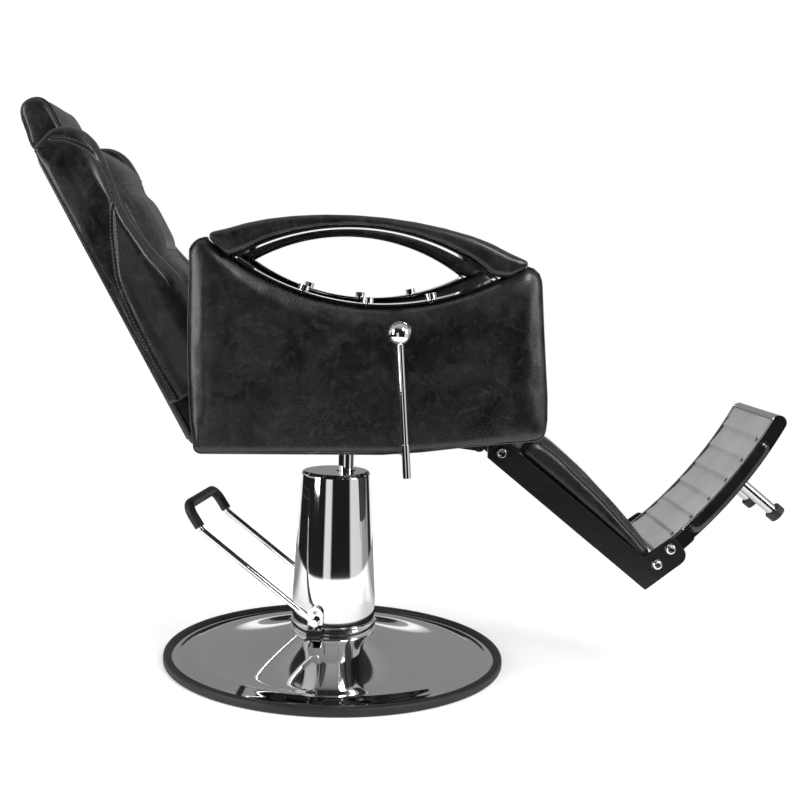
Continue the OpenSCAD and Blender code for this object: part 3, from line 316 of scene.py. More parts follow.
def with_modifier(obj, kind, **props):
    modifier = obj.modifiers.new("work", kind)
    for key, value in props.items():
        setattr(modifier, key, value)
    mesh = evaluated(obj)
    obj.modifiers.clear()
    old = obj.data
    obj.data = mesh
    bpy.data.meshes.remove(old)


def points_of(mesh):
    co = np.empty(len(mesh.vertices) * 3)
    mesh.vertices.foreach_get("co", co)
    return co.reshape(-1, 3)


def normals_of(mesh):
    no = np.empty(len(mesh.vertices) * 3)
    mesh.vertices.foreach_get("normal", no)
    return no.reshape(-1, 3)


def set_points(mesh, co):
    mesh.vertices.foreach_set("co", np.ascontiguousarray(co).ravel())
    mesh.update()


def local(co, place):
    inverse = np.array(place.inverted())
    return co @ inverse[:3, :3].T + inverse[:3, 3]


def to_world(co, place):
    matrix = np.array(place)
    return co @ matrix[:3, :3].T + matrix[:3, 3]


def distance_to_path(points, path, closed=False):
    """Least distance in the plane from each point (n, 2) to a polyline."""
    path = np.asarray(path, dtype=float)
    ends = np.roll(path, -1, axis=0) if closed else path[1:]
    starts = path if closed else path[:-1]
    best = np.full(len(points), 1e9)
    for a, b in zip(starts, ends):
        along = b - a
        t = np.clip(((points - a) @ along) / max(along @ along, 1e-12), 0, 1)
        best = np.minimum(best, np.linalg.norm(points - a - t[:, None] * along, axis=1))
    return best


def spaced(path, step):
    """Points of a polyline at even steps, with their directions."""
    path = [Vector(p) for p in path]
    out, carry = [], 0.0
    for a, b in zip(path, path[1:]):
        run = (b - a).length
        if run < 1e-9:
            continue
        direction = (b - a) / run
        at = carry
        while at < run:
            out.append((a + direction * at, direction))
            at += step
        carry = at - run
    return out


def smooth_path(path, rounds=2):
    """Corner-cutting that turns a few given points into a smooth line."""
    path = [Vector(p) for p in path]
    for _ in range(rounds):
        cut = [path[0]]
        for a, b in zip(path, path[1:]):
            cut += [a.lerp(b, 0.25), a.lerp(b, 0.75)]
        path = cut + [path[-1]]
    return path


def tube(name, path, radius, body, slot="black_leather", material="piping", sides=10, closed=False):
    """Round cord along a path of world points."""
    path = [Vector(p) for p in path]
    count = len(path)
    verts, faces = [], []
    side = None
    for i, point in enumerate(path):
        before = path[i - 1] if i or closed else point
        after = path[(i + 1) % count] if i < count - 1 or closed else point
        tangent = (after - before).normalized()
        if side is None:
            side = tangent.orthogonal().normalized()
        side = (side - tangent * side.dot(tangent)).normalized()
        across = tangent.cross(side)
        for k in range(sides):
            turn = 2 * math.pi * k / sides
            verts.append(point + radius * (math.cos(turn) * side + math.sin(turn) * across))
    rings = count if closed else count - 1
    for i in range(rings):
        for k in range(sides):
            a, b = i * sides + k, i * sides + (k + 1) % sides
            c, d = ((i + 1) % count) * sides + (k + 1) % sides, ((i + 1) % count) * sides + k
            faces.append((a, b, c, d))
    if not closed:
        faces.append(tuple(reversed(range(sides))))
        faces.append(tuple(range((count - 1) * sides, count * sides)))
    return build(name, verts, faces, body, slot, material)


def tree_of(piece):
    bm = bmesh.new()
    bm.from_mesh(piece.data)
    tree = BVHTree.FromBMesh(bm)
    bm.free()
    return tree


def on_surface(tree, points, direction, lift=0.0, reach=0.4):
    """Where rays along `direction` through the points first meet a piece, raised by `lift`."""
    direction = Vector(direction).normalized()
    out = []
    for p in points:
        p = Vector(p)
        hit, normal, _, _ = tree.ray_cast(p - direction * reach / 2, direction, reach)
        if hit is not None:
            out.append((hit + normal * lift, normal))
    return out


def stitches(name, tree, path, direction, body, step=0.0060, length=0.0044, radius=0.0008):
    """A row of thread stitches laid on a surface along a path."""
    verts, faces = [], []
    for point, _ in spaced(path, step):
        found = on_surface(tree, [point], direction, 0.0002)
        if not found:
            continue
        centre, normal = found[0]
        nearest = min(range(len(path) - 1), key=lambda i: (Vector(path[i]) - point).length)
        along = (Vector(path[nearest + 1]) - Vector(path[nearest])).normalized()
        along = (along - normal * along.dot(normal)).normalized()
        across = normal.cross(along)
        first = len(verts)
        rings = ((-0.5, 0.35), (-0.3, 1.0), (0.3, 1.0), (0.5, 0.35))
        for reach, width in rings:
            for k in range(6):
                turn = math.pi * k / 3
                verts.append(centre + along * length * reach
                             + radius * width * (math.cos(turn) * across + math.sin(turn) * normal))
        for r in range(3):
            for k in range(6):
                faces.append((first + r * 6 + k, first + r * 6 + (k + 1) % 6,
                              first + (r + 1) * 6 + (k + 1) % 6, first + (r + 1) * 6 + k))
        faces.append(tuple(first + k for k in reversed(range(6))))
        faces.append(tuple(first + 18 + k for k in range(6)))
    return build(name, verts, faces, body, "black_leather", "thread")


def sink(piece, mask_distance, width, depth, only=None):
    """Draws a groove: vertices near a line move in along their normals."""
    mesh = piece.data
    co, no = points_of(mesh), normals_of(mesh)
    amount = depth * np.exp(-(mask_distance / width) ** 2)
    if only is not None:
        amount = amount * only
    set_points(mesh, co - no * amount[:, None])


def ripple(piece, height, scale, seed):
    """Fine unevenness of leather drawn over foam."""
    mesh = piece.data
    co, no = points_of(mesh), normals_of(mesh)
    shift = Vector((seed * 3.1, seed * 1.7, seed * 0.9))
    lift = np.array([noise.noise(Vector(p) * scale + shift) for p in co])
    set_points(mesh, co + no * (lift * height)[:, None])


# ---- upholstery ----------------------------------------------------------------------------
class Pad:
    """A soft piece: a copy of its CAD solid, remeshed, blown up as cloth and then subdivided.

    voxel is the remesh size and soft the rounds of smoothing after it; shape moves the points and
    shrink draws them in before the cloth runs. A point then moves by cap at most, times free there.
    """

    def __init__(self, name, node, body, voxel, cap, fill, free, shape=None, shrink=0.0, soft=6):
        self.cap, self.free, self.fill = cap, free, fill
        self.piece = new_piece(name, nodes[node].data.copy(), body, "black_leather")
        self.node = node
        with_modifier(self.piece, "REMESH", mode="VOXEL", voxel_size=voxel)
        if shape:
            set_points(self.piece.data, shape(points_of(self.piece.data)))
            with_modifier(self.piece, "REMESH", mode="VOXEL", voxel_size=voxel)
        if shrink:
            mesh = self.piece.data
            set_points(mesh, points_of(mesh) - normals_of(mesh) * shrink)
        with_modifier(self.piece, "SMOOTH", factor=0.5, iterations=soft)
        self.start = points_of(self.piece.data)

    def add_cloth(self):
        cloth = self.piece.modifiers.new("cloth", "CLOTH")
        cloth.settings.quality = 4
        cloth.settings.use_pressure = True
        cloth.settings.uniform_pressure_force = 4
        cloth.settings.mass = 0.3
        cloth.settings.effector_weights.gravity = 0
        cloth.collision_settings.use_collision = False
        cloth.collision_settings.use_self_collision = False

    def keep_cloth(self):
        mesh = evaluated(self.piece)
        self.piece.modifiers.clear()
        self.piece.data = mesh
        move = points_of(mesh) - self.start
        length = np.linalg.norm(move, axis=1)
        move *= (np.minimum(length, self.cap) / np.maximum(length, 1e-9))[:, None]
        move *= self.free(self.start)[:, None]
        set_points(mesh, self.start + move)
        with_modifier(self.piece, "SMOOTH", factor=0.5, iterations=3)

    def finish(self):
        with_modifier(self.piece, "SUBSURF", levels=1, render_levels=1)
        self.piece.data.materials.clear()
        self.piece.data.materials.append(MATERIALS["black_leather"])
        for polygon in self.piece.data.polygons:
            polygon.use_smooth = True
        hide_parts(self.node)
        ride(self.piece)


def simulate(pads):
    """All pads swell in one run of the clock."""
    for pad in pads:
        pad.add_cloth()
    for step in range(1, 21):
        scene.frame_set(step)
    for pad in pads:
        pad.keep_cloth()
    scene.frame_set(1)
    for pad in pads:
        pad.finish()


def panel_outline():
    """Side view (X, Z) of a side panel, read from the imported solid's rim."""
    mesh = nodes["side_panel_left"].data
    co = points_of(mesh)
    rim = co[np.abs(co[:, 1] - (SEAT_HALF + 0.008)) < 2e-4][:, [0, 2]]
    return rim[np.unique(np.round(rim, 5), axis=0, return_index=True)[1]]


def ordered(rim, centre):
    """Rim points in order of their angle round a point that sees them all."""
    angle = np.arctan2(rim[:, 1] - centre[1], rim[:, 0] - centre[0])
    return rim[np.argsort(angle)]


def round_corner(xz):
    """Draws a panel's rear top corner in to a larger radius."""
    away = np.asarray(xz, float) - CORNER_CENTRE
    reach = np.linalg.norm(away, axis=1)
    beyond = (away[:, 0] < 0) & (away[:, 1] > 0) & (reach > CORNER_R)
    out = np.array(xz, float)
    out[beyond] = CORNER_CENTRE + away[beyond] * (CORNER_R / reach[beyond])[:, None]
    return out


SQUARE_RIM = np.array(ordered(panel_outline(), RIM_CENTRE), float)
CORNER_R = 0.030
PANEL_REAR = SQUARE_RIM[:, 0].min()
REAR_TOP = SQUARE_RIM[SQUARE_RIM[:, 0] < PANEL_REAR + 0.035, 1].max()
CORNER_CENTRE = np.array((PANEL_REAR + CORNER_R, REAR_TOP - CORNER_R))
RIM = round_corner(SQUARE_RIM)
PANEL_ROLL = 0.026                       # how far in from the rim a panel's face has levelled out
PANEL_DROP = 0.013                       # how far the rim lies behind the face


def panel_shape(side):
    """Face of a panel falls away towards its rim in a quarter ellipse."""
    def shape(co):
        inner = distance_to_path(co[:, [0, 2]], RIM, closed=True)
        level = np.sqrt(np.clip(1 - (1 - np.clip(inner / PANEL_ROLL, 0, 1)) ** 2, 0, 1))
        drop = PANEL_DROP * (0.12 + 0.88 * ease(co[:, 2], 0.415, 0.475))
        thick = PANEL_T / 2 - drop * (1 - level)
        across = co[:, 1] - side * PANEL_MID
        out = co.copy()
        out[:, [0, 2]] = round_corner(co[:, [0, 2]])
        out[:, 1] = side * PANEL_MID + np.clip(across, -thick, thick)
        return out
    return shape


def panel_free(side):
    """A panel's outer face swells; the face against the cushion and the top edge stay."""
    def free(co):
        outward = (co[:, 1] - side * PANEL_MID) * side
        inner = distance_to_path(co[:, [0, 2]], RIM, closed=True)
        return np.clip(outward / 0.012, 0, 1) * np.clip(inner / 0.02, 0, 1) * ease(co[:, 2], 0.410, 0.500)
    return free


def arm_free(co):
    return np.clip((co[:, 2] - 0.748) / 0.02, 0, 1)


def cushion_free(co):
    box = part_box("seat_cushion")
    low = box[0][2]
    side = np.clip((box[1][1] - np.abs(co[:, 1])) / 0.03, 0, 1)
    return np.clip((co[:, 2] - low - 0.015) / 0.03, 0, 1) * (0.1 + 0.9 * side)


def back_free(co):
    q = local(co, BACK)
    return np.clip((q[:, 0] - 0.045) / 0.03, 0, 1) * np.clip((0.139 - np.abs(q[:, 1])) / 0.02, 0, 1)


def wing_free(co):
    q = local(co, BACK)
    return np.clip((q[:, 0] - 0.04) / 0.03, 0, 1) * np.clip((np.abs(q[:, 1]) - 0.142) / 0.015, 0, 1)


def calf_free(co):
    q = local(co, LEG)
    return np.clip((q[:, 2] - 0.02) / 0.02, 0, 1) * np.clip((0.104 - np.abs(q[:, 1])) / 0.01, 0, 1)


def head_free(co):
    q = local(co, BACK)
    return np.clip((q[:, 2] - 0.552) / 0.02, 0.15, 1)


def ease(value, start, stop):
    """Smooth step from 0 at start to 1 at stop."""
    share = np.clip((value - start) / (stop - start), 0, 1)
    return share * share * (3 - 2 * share)


# Stitched seam on a wing's side: (s, t) pairs from its top to its foot
WING_SEAM = [(0.527, 0.036), (0.518, 0.054), (0.502, 0.070), (0.486, 0.079), (0.468, 0.084), (0.448, 0.087),
             (0.428, 0.085), (0.410, 0.080), (0.393, 0.071), (0.376, 0.062), (0.358, 0.052), (0.331, 0.041),
             (0.308, 0.031), (0.284, 0.023), (0.230, 0.019), (0.150, 0.018), (0.085, 0.022)]
FLANGE_Y = 0.193                 # the wings wrap the shell's sides outside this


def arm_shape(co):
    """The underside of each end is pressed down on to the panel."""
    low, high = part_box("arm_pad_right")
    middle, half = (low[0] + high[0]) / 2, (high[0] - low[0]) / 2
    out = co.copy()
    end = ease(np.abs(co[:, 0] - middle), half - 0.085, half - 0.030)
    under = 1 - ease(co[:, 2], 0.700, 0.745)
    out[:, 2] -= 0.0065 * end * under
    return out


def wing_shape(co):
    """The side runs back over the shell's edge and rolls in towards the stitched seam."""
    q = local(co, BACK)
    out = np.abs(q[:, 1])
    wrap = ease(out, FLANGE_Y - 0.004, FLANGE_Y + 0.003)
    rear = np.clip((0.050 - q[:, 0]) / (0.050 - 0.0273), 0, 1)
    q[:, 0] -= 0.0282 * wrap * rear
    q[:, 2] -= 0.012 * ease(q[:, 2], 0.46, 0.545) * ease(-q[:, 0], -0.050, -0.004)
    seam = np.array(WING_SEAM)
    away = distance_to_path(q[:, [0, 2]], seam[:, ::-1])
    seam_t = np.interp(q[:, 2], seam[::-1, 0], seam[::-1, 1])
    inside = (q[:, 0] < seam_t) & (q[:, 2] < 0.527)
    roll = np.where(inside, 1 - ease(away, 0.0, 0.042), 1.0)
    face = ease(out, 0.170, 0.200)
    q[:, 1] -= np.sign(q[:, 1]) * 0.010 * roll * face * ease(q[:, 2], 0.10, 0.30)
    return to_world(q, BACK)


def back_shape(co):
    """The cushion's top end falls away behind the headrest."""
    q = local(co, BACK)
    face = ease(q[:, 0], 0.03, 0.09)
    q[:, 0] -= (0.004 + 0.018 * ease(q[:, 2], 0.44, 0.54)) * face
    return to_world(q, BACK)


def head_shape(co):
    """A slimmer foot and a slightly taller crown."""
    q = local(co, BACK)
    foot = 1 - ease(q[:, 2], 0.540, 0.600)
    q[:, 0] -= 0.012 * ease(q[:, 0], 0.010, 0.060) * foot
    q[:, 2] += 0.005 * ease(q[:, 2], 0.57, 0.61)
    return to_world(q, BACK)


def calf_shape(co):
    """The pad's lower end wraps down over its board and meets the footplate."""
    q = local(co, LEG)
    end = ease(q[:, 0], 0.270, 0.305)
    q[:, 0] += 0.0085 * end
    q[:, 2] -= 0.012 * end * (1 - ease(q[:, 2], 0.014, 0.030))
    return to_world(q, LEG)


make_camera()
dress_nodes()

pads = {}


def add_pad(name, node, body, **how):
    pads[name] = Pad(name, node, body, **how)


for label, side in mirror_sides():
    add_pad("panel_" + label, "side_panel_" + label, "seat", voxel=0.005, cap=0.004, fill=0.95,
            free=panel_free(side), shape=panel_shape(side))
for label, side in mirror_sides():
    add_pad("arm_pad_cover_" + label, "arm_pad_" + label, "seat", voxel=0.003, cap=0.001, fill=0.9,
            free=arm_free, shape=arm_shape, soft=2)
add_pad("seat_pad", "seat_cushion", "seat", voxel=0.007, cap=0.014, fill=0.8, free=cushion_free, shrink=0.003)
add_pad("back_pad", "back_cushion", "backrest", voxel=0.0055, cap=0.0015, fill=0.8,
        free=back_free, shape=back_shape, shrink=0.001)
for label, side in mirror_sides():
    add_pad("wing_" + label, "back_wing_" + label, "backrest", voxel=0.0045, cap=0.006, fill=0.9,
            free=wing_free, shape=wing_shape, soft=9)
add_pad("head_pad", "headrest_pad", "headrest", voxel=0.004, cap=0.004, fill=0.9,
        free=head_free, shape=head_shape, shrink=0.001, soft=9)
add_pad("leg_pad", "calf_pad", "leg_rest", voxel=0.0045, cap=0.005, fill=0.85,
        free=calf_free, shape=calf_shape, soft=3)
simulate(list(pads.values()))


# ---- seams, piping and stitches -------------------------------------------------------------
def finish_panels():
    for label, side in mirror_sides():
        pad = pads["panel_" + label]
        ripple(pad.piece, 0.0006, 16, 1 + side)
        # The welt runs down the rear edge, along the foot and up the front edge
        centre = np.array(RIM_CENTRE)
        keep = [p for p in RIM if not (p[1] > 0.55 and abs(p[0] - 0.045) < 0.236)]
        rim = sorted(keep, key=lambda p: (math.atan2(p[1] - centre[1], p[0] - centre[0]) - 1.0) % (2 * math.pi))
        y = side * (PANEL_MID + PANEL_T / 2 - PANEL_DROP + 0.0005)
        inset = 0.0012
        path = [Vector((p[0] + inset * (centre[0] - p[0]) / 0.3, y, p[1] + inset * (centre[1] - p[1]) / 0.3))
                for p in rim]
        tube("panel_welt_" + label, path, 0.0019, "seat")


def finish_wings():
    for label, side in mirror_sides():
        pad = pads["wing_" + label]
        q = local(points_of(pad.piece.data), BACK)
        seam = smooth_path([(t, 0, s) for s, t in WING_SEAM], 2)
        away = distance_to_path(q[:, [0, 2]], [(p.x, p.z) for p in seam])
        outer = np.clip((np.abs(q[:, 1]) - 0.168) / 0.012, 0, 1)
        sink(pad.piece, away, 0.0032, 0.0026, outer)
        ripple(pad.piece, 0.0008, 22, 4 + side)
        tree = tree_of(pad.piece)
        inward = BACK.to_3x3() @ Vector((0, -side, 0))
        for shift, tag in ((-SEAM_SIDE, "rear"), (SEAM_SIDE, "front")):
            row = [BACK @ Vector((p.x + shift, side * 0.21, p.z)) for p in seam]
            stitches(f"wing_stitches_{tag}_{label}", tree, row, inward, "backrest")
        # Welt where the wing meets the centre cushion
        edge = [BACK @ Vector((0.1, side * 0.1455, 0.100 + 0.011 * k)) for k in range(40)]
        hits = on_surface(tree, edge, INTO_BACK, 0.0006)
        tube("wing_welt_" + label, [h for h, _ in hits], 0.0021, "backrest")


def finish_back():
    pad = pads["back_pad"]
    ripple(pad.piece, 0.0009, 20, 7)
    tree = tree_of(pad.piece)
    for label, side in mirror_sides():
        edge = [BACK @ Vector((0.1, side * 0.1335, 0.092 + 0.0105 * k)) for k in range(41)]
        hits = on_surface(tree, edge, INTO_BACK, 0.0004)
        tube("back_welt_" + label, [h for h, _ in hits], 0.0019, "backrest")
    for k in range(1, 4):
        s = BACK_LENGTH * (1 - CHANNEL_PITCH * k)
        for shift, tag in ((-0.006, "low"), (0.006, "high")):
            row = [BACK @ Vector((0.1, -0.125 + 0.25 * j / 24, s + shift)) for j in range(25)]
            stitches(f"rib_stitches_{tag}_{k}", tree, row, INTO_BACK, "backrest")


def finish_head():
    pad = pads["head_pad"]
    mesh = pad.piece.data
    q = local(points_of(mesh), BACK)
    half = np.abs(q[:, 1]).max()
    seam_y = half - 0.012
    away = np.abs(np.abs(q[:, 1]) - seam_y)
    sink(pad.piece, away, 0.0028, 0.0024)
    ripple(pad.piece, 0.0008, 24, 9)
    tree = tree_of(pad.piece)
    low, high = q[:, [0, 2]].min(axis=0), q[:, [0, 2]].max(axis=0)
    centre = (low + high) / 2
    for label, side in mirror_sides():
        ring = []
        for k in range(60):
            turn = 2 * math.pi * k / 60
            ring.append(Vector((centre[0] + 0.06 * math.cos(turn), side * (seam_y - SEAM_SIDE),
                                centre[1] + 0.06 * math.sin(turn))))
        hits = []
        for p in ring:
            aim = Vector((centre[0], p.y, centre[1])) - p
            found = on_surface(tree, [BACK @ p], BACK.to_3x3() @ aim, 0.0003, 0.12)
            hits += [h for h, _ in found]
        if len(hits) > 8:
            tube("head_welt_" + label, hits, 0.0013, "headrest", closed=True)


def finish_seat():
    pad = pads["seat_pad"]
    ripple(pad.piece, 0.0012, 12, 11)
    tree = tree_of(pad.piece)
    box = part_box("seat_cushion")
    half = box[1][1] - 0.012
    front, rear = box[1][0] - 0.016, box[0][0] + 0.03
    corner = 0.03
    plan = [(rear, -half), (front - corner, -half), (front - 0.3 * corner, -half + 0.3 * corner),
            (front, -half + corner), (front, half - corner),
            (front - 0.3 * corner, half - 0.3 * corner), (front - corner, half), (rear, half)]
    path = smooth_path([(x, y, 0.54) for x, y in plan], 2)
    even = [p for p, _ in spaced(path, 0.008)]
    hits = on_surface(tree, even, (0, 0, -1), 0.0006)
    tube("seat_welt", [h for h, _ in hits], 0.0024, "seat")


def finish_leg():
    pad = pads["leg_pad"]
    q = local(points_of(pad.piece.data), LEG)
    half = np.abs(q[:, 1]).max()
    away = np.abs(np.abs(q[:, 1]) - (half - 0.020))
    top = np.clip((q[:, 2] - 0.022) / 0.006, 0, 1)
    sink(pad.piece, away, 0.0026, 0.0022, top)
    ripple(pad.piece, 0.0008, 22, 13)
    tree = tree_of(pad.piece)
    down = LEG.to_3x3() @ Vector((0, 0, -1))
    start, stop = q[:, 0].min() + 0.016, q[:, 0].max() - 0.012
    for label, side in mirror_sides():
        edge = [LEG @ Vector((start + (stop - start) * k / 36, side * (half - 0.006), 0.04)) for k in range(37)]
        hits = on_surface(tree, edge, down, 0.0004)
        tube("leg_welt_" + label, [h for h, _ in hits], 0.0019, "leg_rest")
        row = [LEG @ Vector((start + (stop - start) * k / 36, side * (half - 0.0255), 0.04)) for k in range(37)]
        stitches("leg_stitches_" + label, tree, row, down, "leg_rest")


finish_panels()
finish_wings()
finish_back()
finish_head()
finish_seat()
finish_leg()


# ---- back shell: leather drawn over a hard shell ---------------------------------------------
def make_shell():
    """Rear cover between the wings' wrapped edges, with a welt up its sides and over its top."""
    half, top, foot = FLANGE_Y - 0.0015, 0.531, 0.004
    corners = [(-half, foot, 0.012), (half, foot, 0.012), (half, top, 0.030), (-half, top, 0.030)]
    outline = []
    for i, (y, s, r) in enumerate(corners):
        toward = (1 if y < 0 else -1, 1 if s < 0.2 else -1)
        centre = (y + r * toward[0], s + r * toward[1])
        start = (math.pi, 1.5 * math.pi, 0, 0.5 * math.pi)[i]
        for k in range(9):
            turn = start + math.pi / 2 * k / 8
            outline.append((centre[0], centre[1], r, turn))
    verts, faces = [], []
    roll = [(0.0, 0.0112), (0.0, 0.0075), (0.0009, 0.0040), (0.0032, 0.0016), (0.0070, 0.0004), (0.0110, 0.0)]
    for inset, t in roll:
        for cy, cs, r, turn in outline:
            verts.append((t, cy + (r - inset) * math.cos(turn), cs + (r - inset) * math.sin(turn)))
    n = len(outline)
    for ring in range(len(roll) - 1):
        for k in range(n):
            a, b = ring * n + k, ring * n + (k + 1) % n
            faces.append((a, a + n, b + n, b))
    faces += [tuple(range(n)), tuple((len(roll) - 1) * n + k for k in reversed(range(n)))]
    obj = build("back_cover", verts, faces, "backrest", "black_leather", None, BACK)
    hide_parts("back_shell")
    tree = tree_of(obj)
    reach = [(half - 0.012, foot + 0.012), (half - 0.012, top - 0.03),
             (half - 0.02, top - 0.018), (half - 0.034, top - 0.012)]
    plan = [(-y, s) for y, s in reach] + [(y, s) for y, s in reversed(reach)]
    path = smooth_path([BACK @ Vector((-0.02, y, s)) for y, s in plan], 2)
    even = [p for p, _ in spaced(path, 0.01)]
    hits = on_surface(tree, even, BACK.to_3x3() @ Vector((1, 0, 0)), 0.0004)
    tube("back_cover_welt", [h for h, _ in hits], 0.0020, "backrest")


make_shell()


# ---- footplate --------------------------------------------------------------------------------
TREAD_R = 0.760
TREAD_HALF = 0.0977
TREAD_C = (LEG_LEN + 0.0025 - TREAD_R, 0.195)
TREAD_Z0, TREAD_Z1 = 0.0373, 0.3357
TREAD_STEPS = 7
STRIP_T = 0.0016


def tread_point(u, lift, y):
    """Point on the tread at share u of its height, `lift` in front of its bend."""
    z = TREAD_Z0 + (TREAD_Z1 - TREAD_Z0) * u
    x = TREAD_C[0] + math.sqrt((TREAD_R - lift) ** 2 - (z - TREAD_C[1]) ** 2)
    return LEG @ Vector((x, y, z))


def tread_lift(u):
    """Each pressed step slopes out and drops back over a short lip."""
    k = 1.0 - (u * TREAD_STEPS) % 1.0
    rise = 0.0034
    return rise * (k / 0.88 if k < 0.88 else (1 - k) / 0.12) ** 1.2


def make_tread():
    rows, columns = TREAD_STEPS * 24, 24
    verts, faces = [], []
    for layer in (0, 1):
        for i in range(rows + 1):
            u = i / rows
            for j in range(columns + 1):
                v = -1 + 2 * j / columns
                edge = min(1.0, (1 - abs(v)) / 0.09)
                lift = -0.0015 + tread_lift(u) * (edge ** 0.5) if layer == 0 else -0.0028
                verts.append(tread_point(u, lift, v * TREAD_HALF))
    width = columns + 1
    size = (rows + 1) * width
    for i in range(rows):
        for j in range(columns):
            a = i * width + j
            faces.append((a, a + width, a + width + 1, a + 1))
            faces.append((size + a, size + a + 1, size + a + width + 1, size + a + width))
    rim = [i * width for i in range(rows + 1)] + [rows * width + j for j in range(1, width)]
    rim += [i * width + columns for i in range(rows - 1, -1, -1)] + [j for j in range(columns - 1, 0, -1)]
    for a, b in zip(rim, rim[1:] + rim[:1]):
        faces.append((a, size + a, size + b, b))
    piece = build("tread", verts, faces, "leg_rest", "tread_metal")
    bm = bmesh.new()
    bm.from_mesh(piece.data)
    bmesh.ops.recalc_face_normals(bm, faces=bm.faces)
    bm.to_mesh(piece.data)
    bm.free()
    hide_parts("foot_tread")


def strip(name, u0, u1, y, width, count=None):
    """Narrow strip of painted shade that follows the tread's bend, with rounded ends and edges."""
    count = count or max(3, int((u1 - u0) * 60))
    section = [(-1, 0), (-0.8, 0.75), (-0.35, 1), (0.35, 1), (0.8, 0.75), (1, 0)]
    verts, faces = [], []
    for i in range(count + 1):
        u = u0 + (u1 - u0) * i / count
        taper = min(1.0, 0.45 + min(i, count - i))
        for w, h in section:
            verts.append(tread_point(u, STRIP_T * h, y + width / 2 * w * taper))
    n = len(section)
    for i in range(count):
        for k in range(n - 1):
            a = i * n + k
            faces.append((a, a + 1, a + n + 1, a + n))
    faces.append(tuple(range(n)))
    faces.append(tuple(count * n + k for k in reversed(range(n))))
    build(name, verts, faces, "leg_rest", "black_rubber", "dark_trim_and_shade")


# Dark strips laid on the tread as painted shade of its gaps: short ones at the step ends by the near edge, long ones
# along the far edge.
def make_tread_gap_shades():
    for k in range(1, TREAD_STEPS):
        u = k / TREAD_STEPS
        strip(f"tread_gap_shade_{k}", u - 0.008, u + 0.030, -(TREAD_HALF - 0.010), 0.0026, count=5)
    strip("tread_gap_shade_long", 0.30, 0.93, TREAD_HALF - 0.006, 0.0034)
    strip("tread_gap_shade_short", 0.06, 0.25, TREAD_HALF - 0.006, 0.0034)


def make_side_bands():
    """Dark strip let into each side of the footplate's tray."""
    z0, z1 = 0.105, 0.300
    thick, deep0, deep1 = 0.0014, 0.004, 0.024
    for label, side in mirror_sides():
        y0, y1 = side * 0.1, side * (0.1 + thick)
        verts, faces = [], []
        count = 40
        for i in range(count + 1):
            z = z0 + (z1 - z0) * i / count
            end = min(1.0, 0.3 + min(i, count - i) / 2.0)
            middle = (deep0 + deep1) / 2
            for deep, y in ((deep0, y0), (deep0 + 0.001, y1), (deep1 - 0.001, y1), (deep1, y0)):
                r = TREAD_R + middle + (deep - middle) * end
                x = TREAD_C[0] + math.sqrt(r ** 2 - (z - TREAD_C[1]) ** 2)
                verts.append((x, y, z))
        for i in range(count):
            for k in range(3):
                a = i * 4 + k
                faces.append((a, a + 1, a + 5, a + 4))
        faces += [(0, 1, 2, 3), tuple(count * 4 + k for k in (3, 2, 1, 0))]
        build("tray_band_" + label, verts, faces, "leg_rest", "black_rubber", "dark_trim_and_shade", LEG)


# Base disc, as packed; outside DISC_SLOT_R it lies in the edging's slot
DISC_CROWN_Z, DISC_RIM_Z, DISC_T = 0.054, 0.009, 0.002
DISC_HOLE_R, DISC_CROWN_R, DISC_SLOT_R, DISC_R = 0.053, 0.080, 0.2845, 0.296
# Radius, width and rise of the rolled lip and of the dip outside it
DISC_ROLLS = ((0.246, 0.015, 0.0026), (0.2765, 0.006, -0.0014))


def make_disc():
    """Pressed dome of the base, with a rolled lip just inside its rubber edging."""
    rings, sides = 150, 288
    profile = []
    for k in range(rings + 1):
        r = DISC_CROWN_R + (DISC_R - DISC_CROWN_R) * k / rings
        u = (r - DISC_CROWN_R) / (DISC_R - DISC_CROWN_R)
        outside = max(0.0, min(1.0, (DISC_SLOT_R - r) / 0.006))
        roll = sum(rise * math.exp(-((r - at) / width) ** 2) for at, width, rise in DISC_ROLLS)
        profile.append((r, DISC_RIM_Z + (DISC_CROWN_Z - DISC_RIM_Z) * (1 - u) ** 1.6 + roll * outside))
    top = [(DISC_HOLE_R, DISC_CROWN_Z)] + profile
    loop = top + [(r, z - DISC_T) for r, z in reversed(top)]
    verts, faces = [], []
    for r, z in loop:
        for j in range(sides):
            turn = 2 * math.pi * j / sides
            verts.append((r * math.cos(turn), r * math.sin(turn), z))
    n = len(loop)
    for i in range(n):
        for j in range(sides):
            a, b = i * sides + j, i * sides + (j + 1) % sides
            c, d = ((i + 1) % n) * sides + (j + 1) % sides, ((i + 1) % n) * sides + j
            faces.append((a, d, c, b))
    piece = build("disc", verts, faces, "base", "chrome")
    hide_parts("base_disc")


def make_tray_beads():
    """Rolled bright edge along each side of the footplate's face."""
    for label, side in mirror_sides():
        path = [tread_point(-0.008 + 1.022 * k / 60, -0.0002, side * 0.0991) for k in range(61)]
        tube("tray_bead_" + label, path, 0.0014, "leg_rest", "chrome", "chrome")


make_disc()
make_tray_beads()
make_tread()
make_tread_gap_shades()
make_side_bands()


# ---- bolts and caps ---------------------------------------------------------------------------
def turned(name, profile, centre, axis, body, slot, material=None, sides=32):
    """Solid of revolution: profile of (radius, height) pairs about an axis from a world point."""
    axis = Vector(axis).normalized()
    side = axis.orthogonal().normalized()
    across = axis.cross(side)
    verts, faces = [], []
    for radius, height in profile:
        for k in range(sides):
            turn = 2 * math.pi * k / sides
            verts.append(Vector(centre) + axis * height + radius * (math.cos(turn) * side + math.sin(turn) * across))
    for i in range(len(profile) - 1):
        for k in range(sides):
            a, b = i * sides + k, i * sides + (k + 1) % sides
            faces.append((a, b, b + sides, a + sides))
    faces.append(tuple(reversed(range(sides))))
    faces.append(tuple(range((len(profile) - 1) * sides, len(profile) * sides)))
    return build(name, verts, faces, body, slot, material)


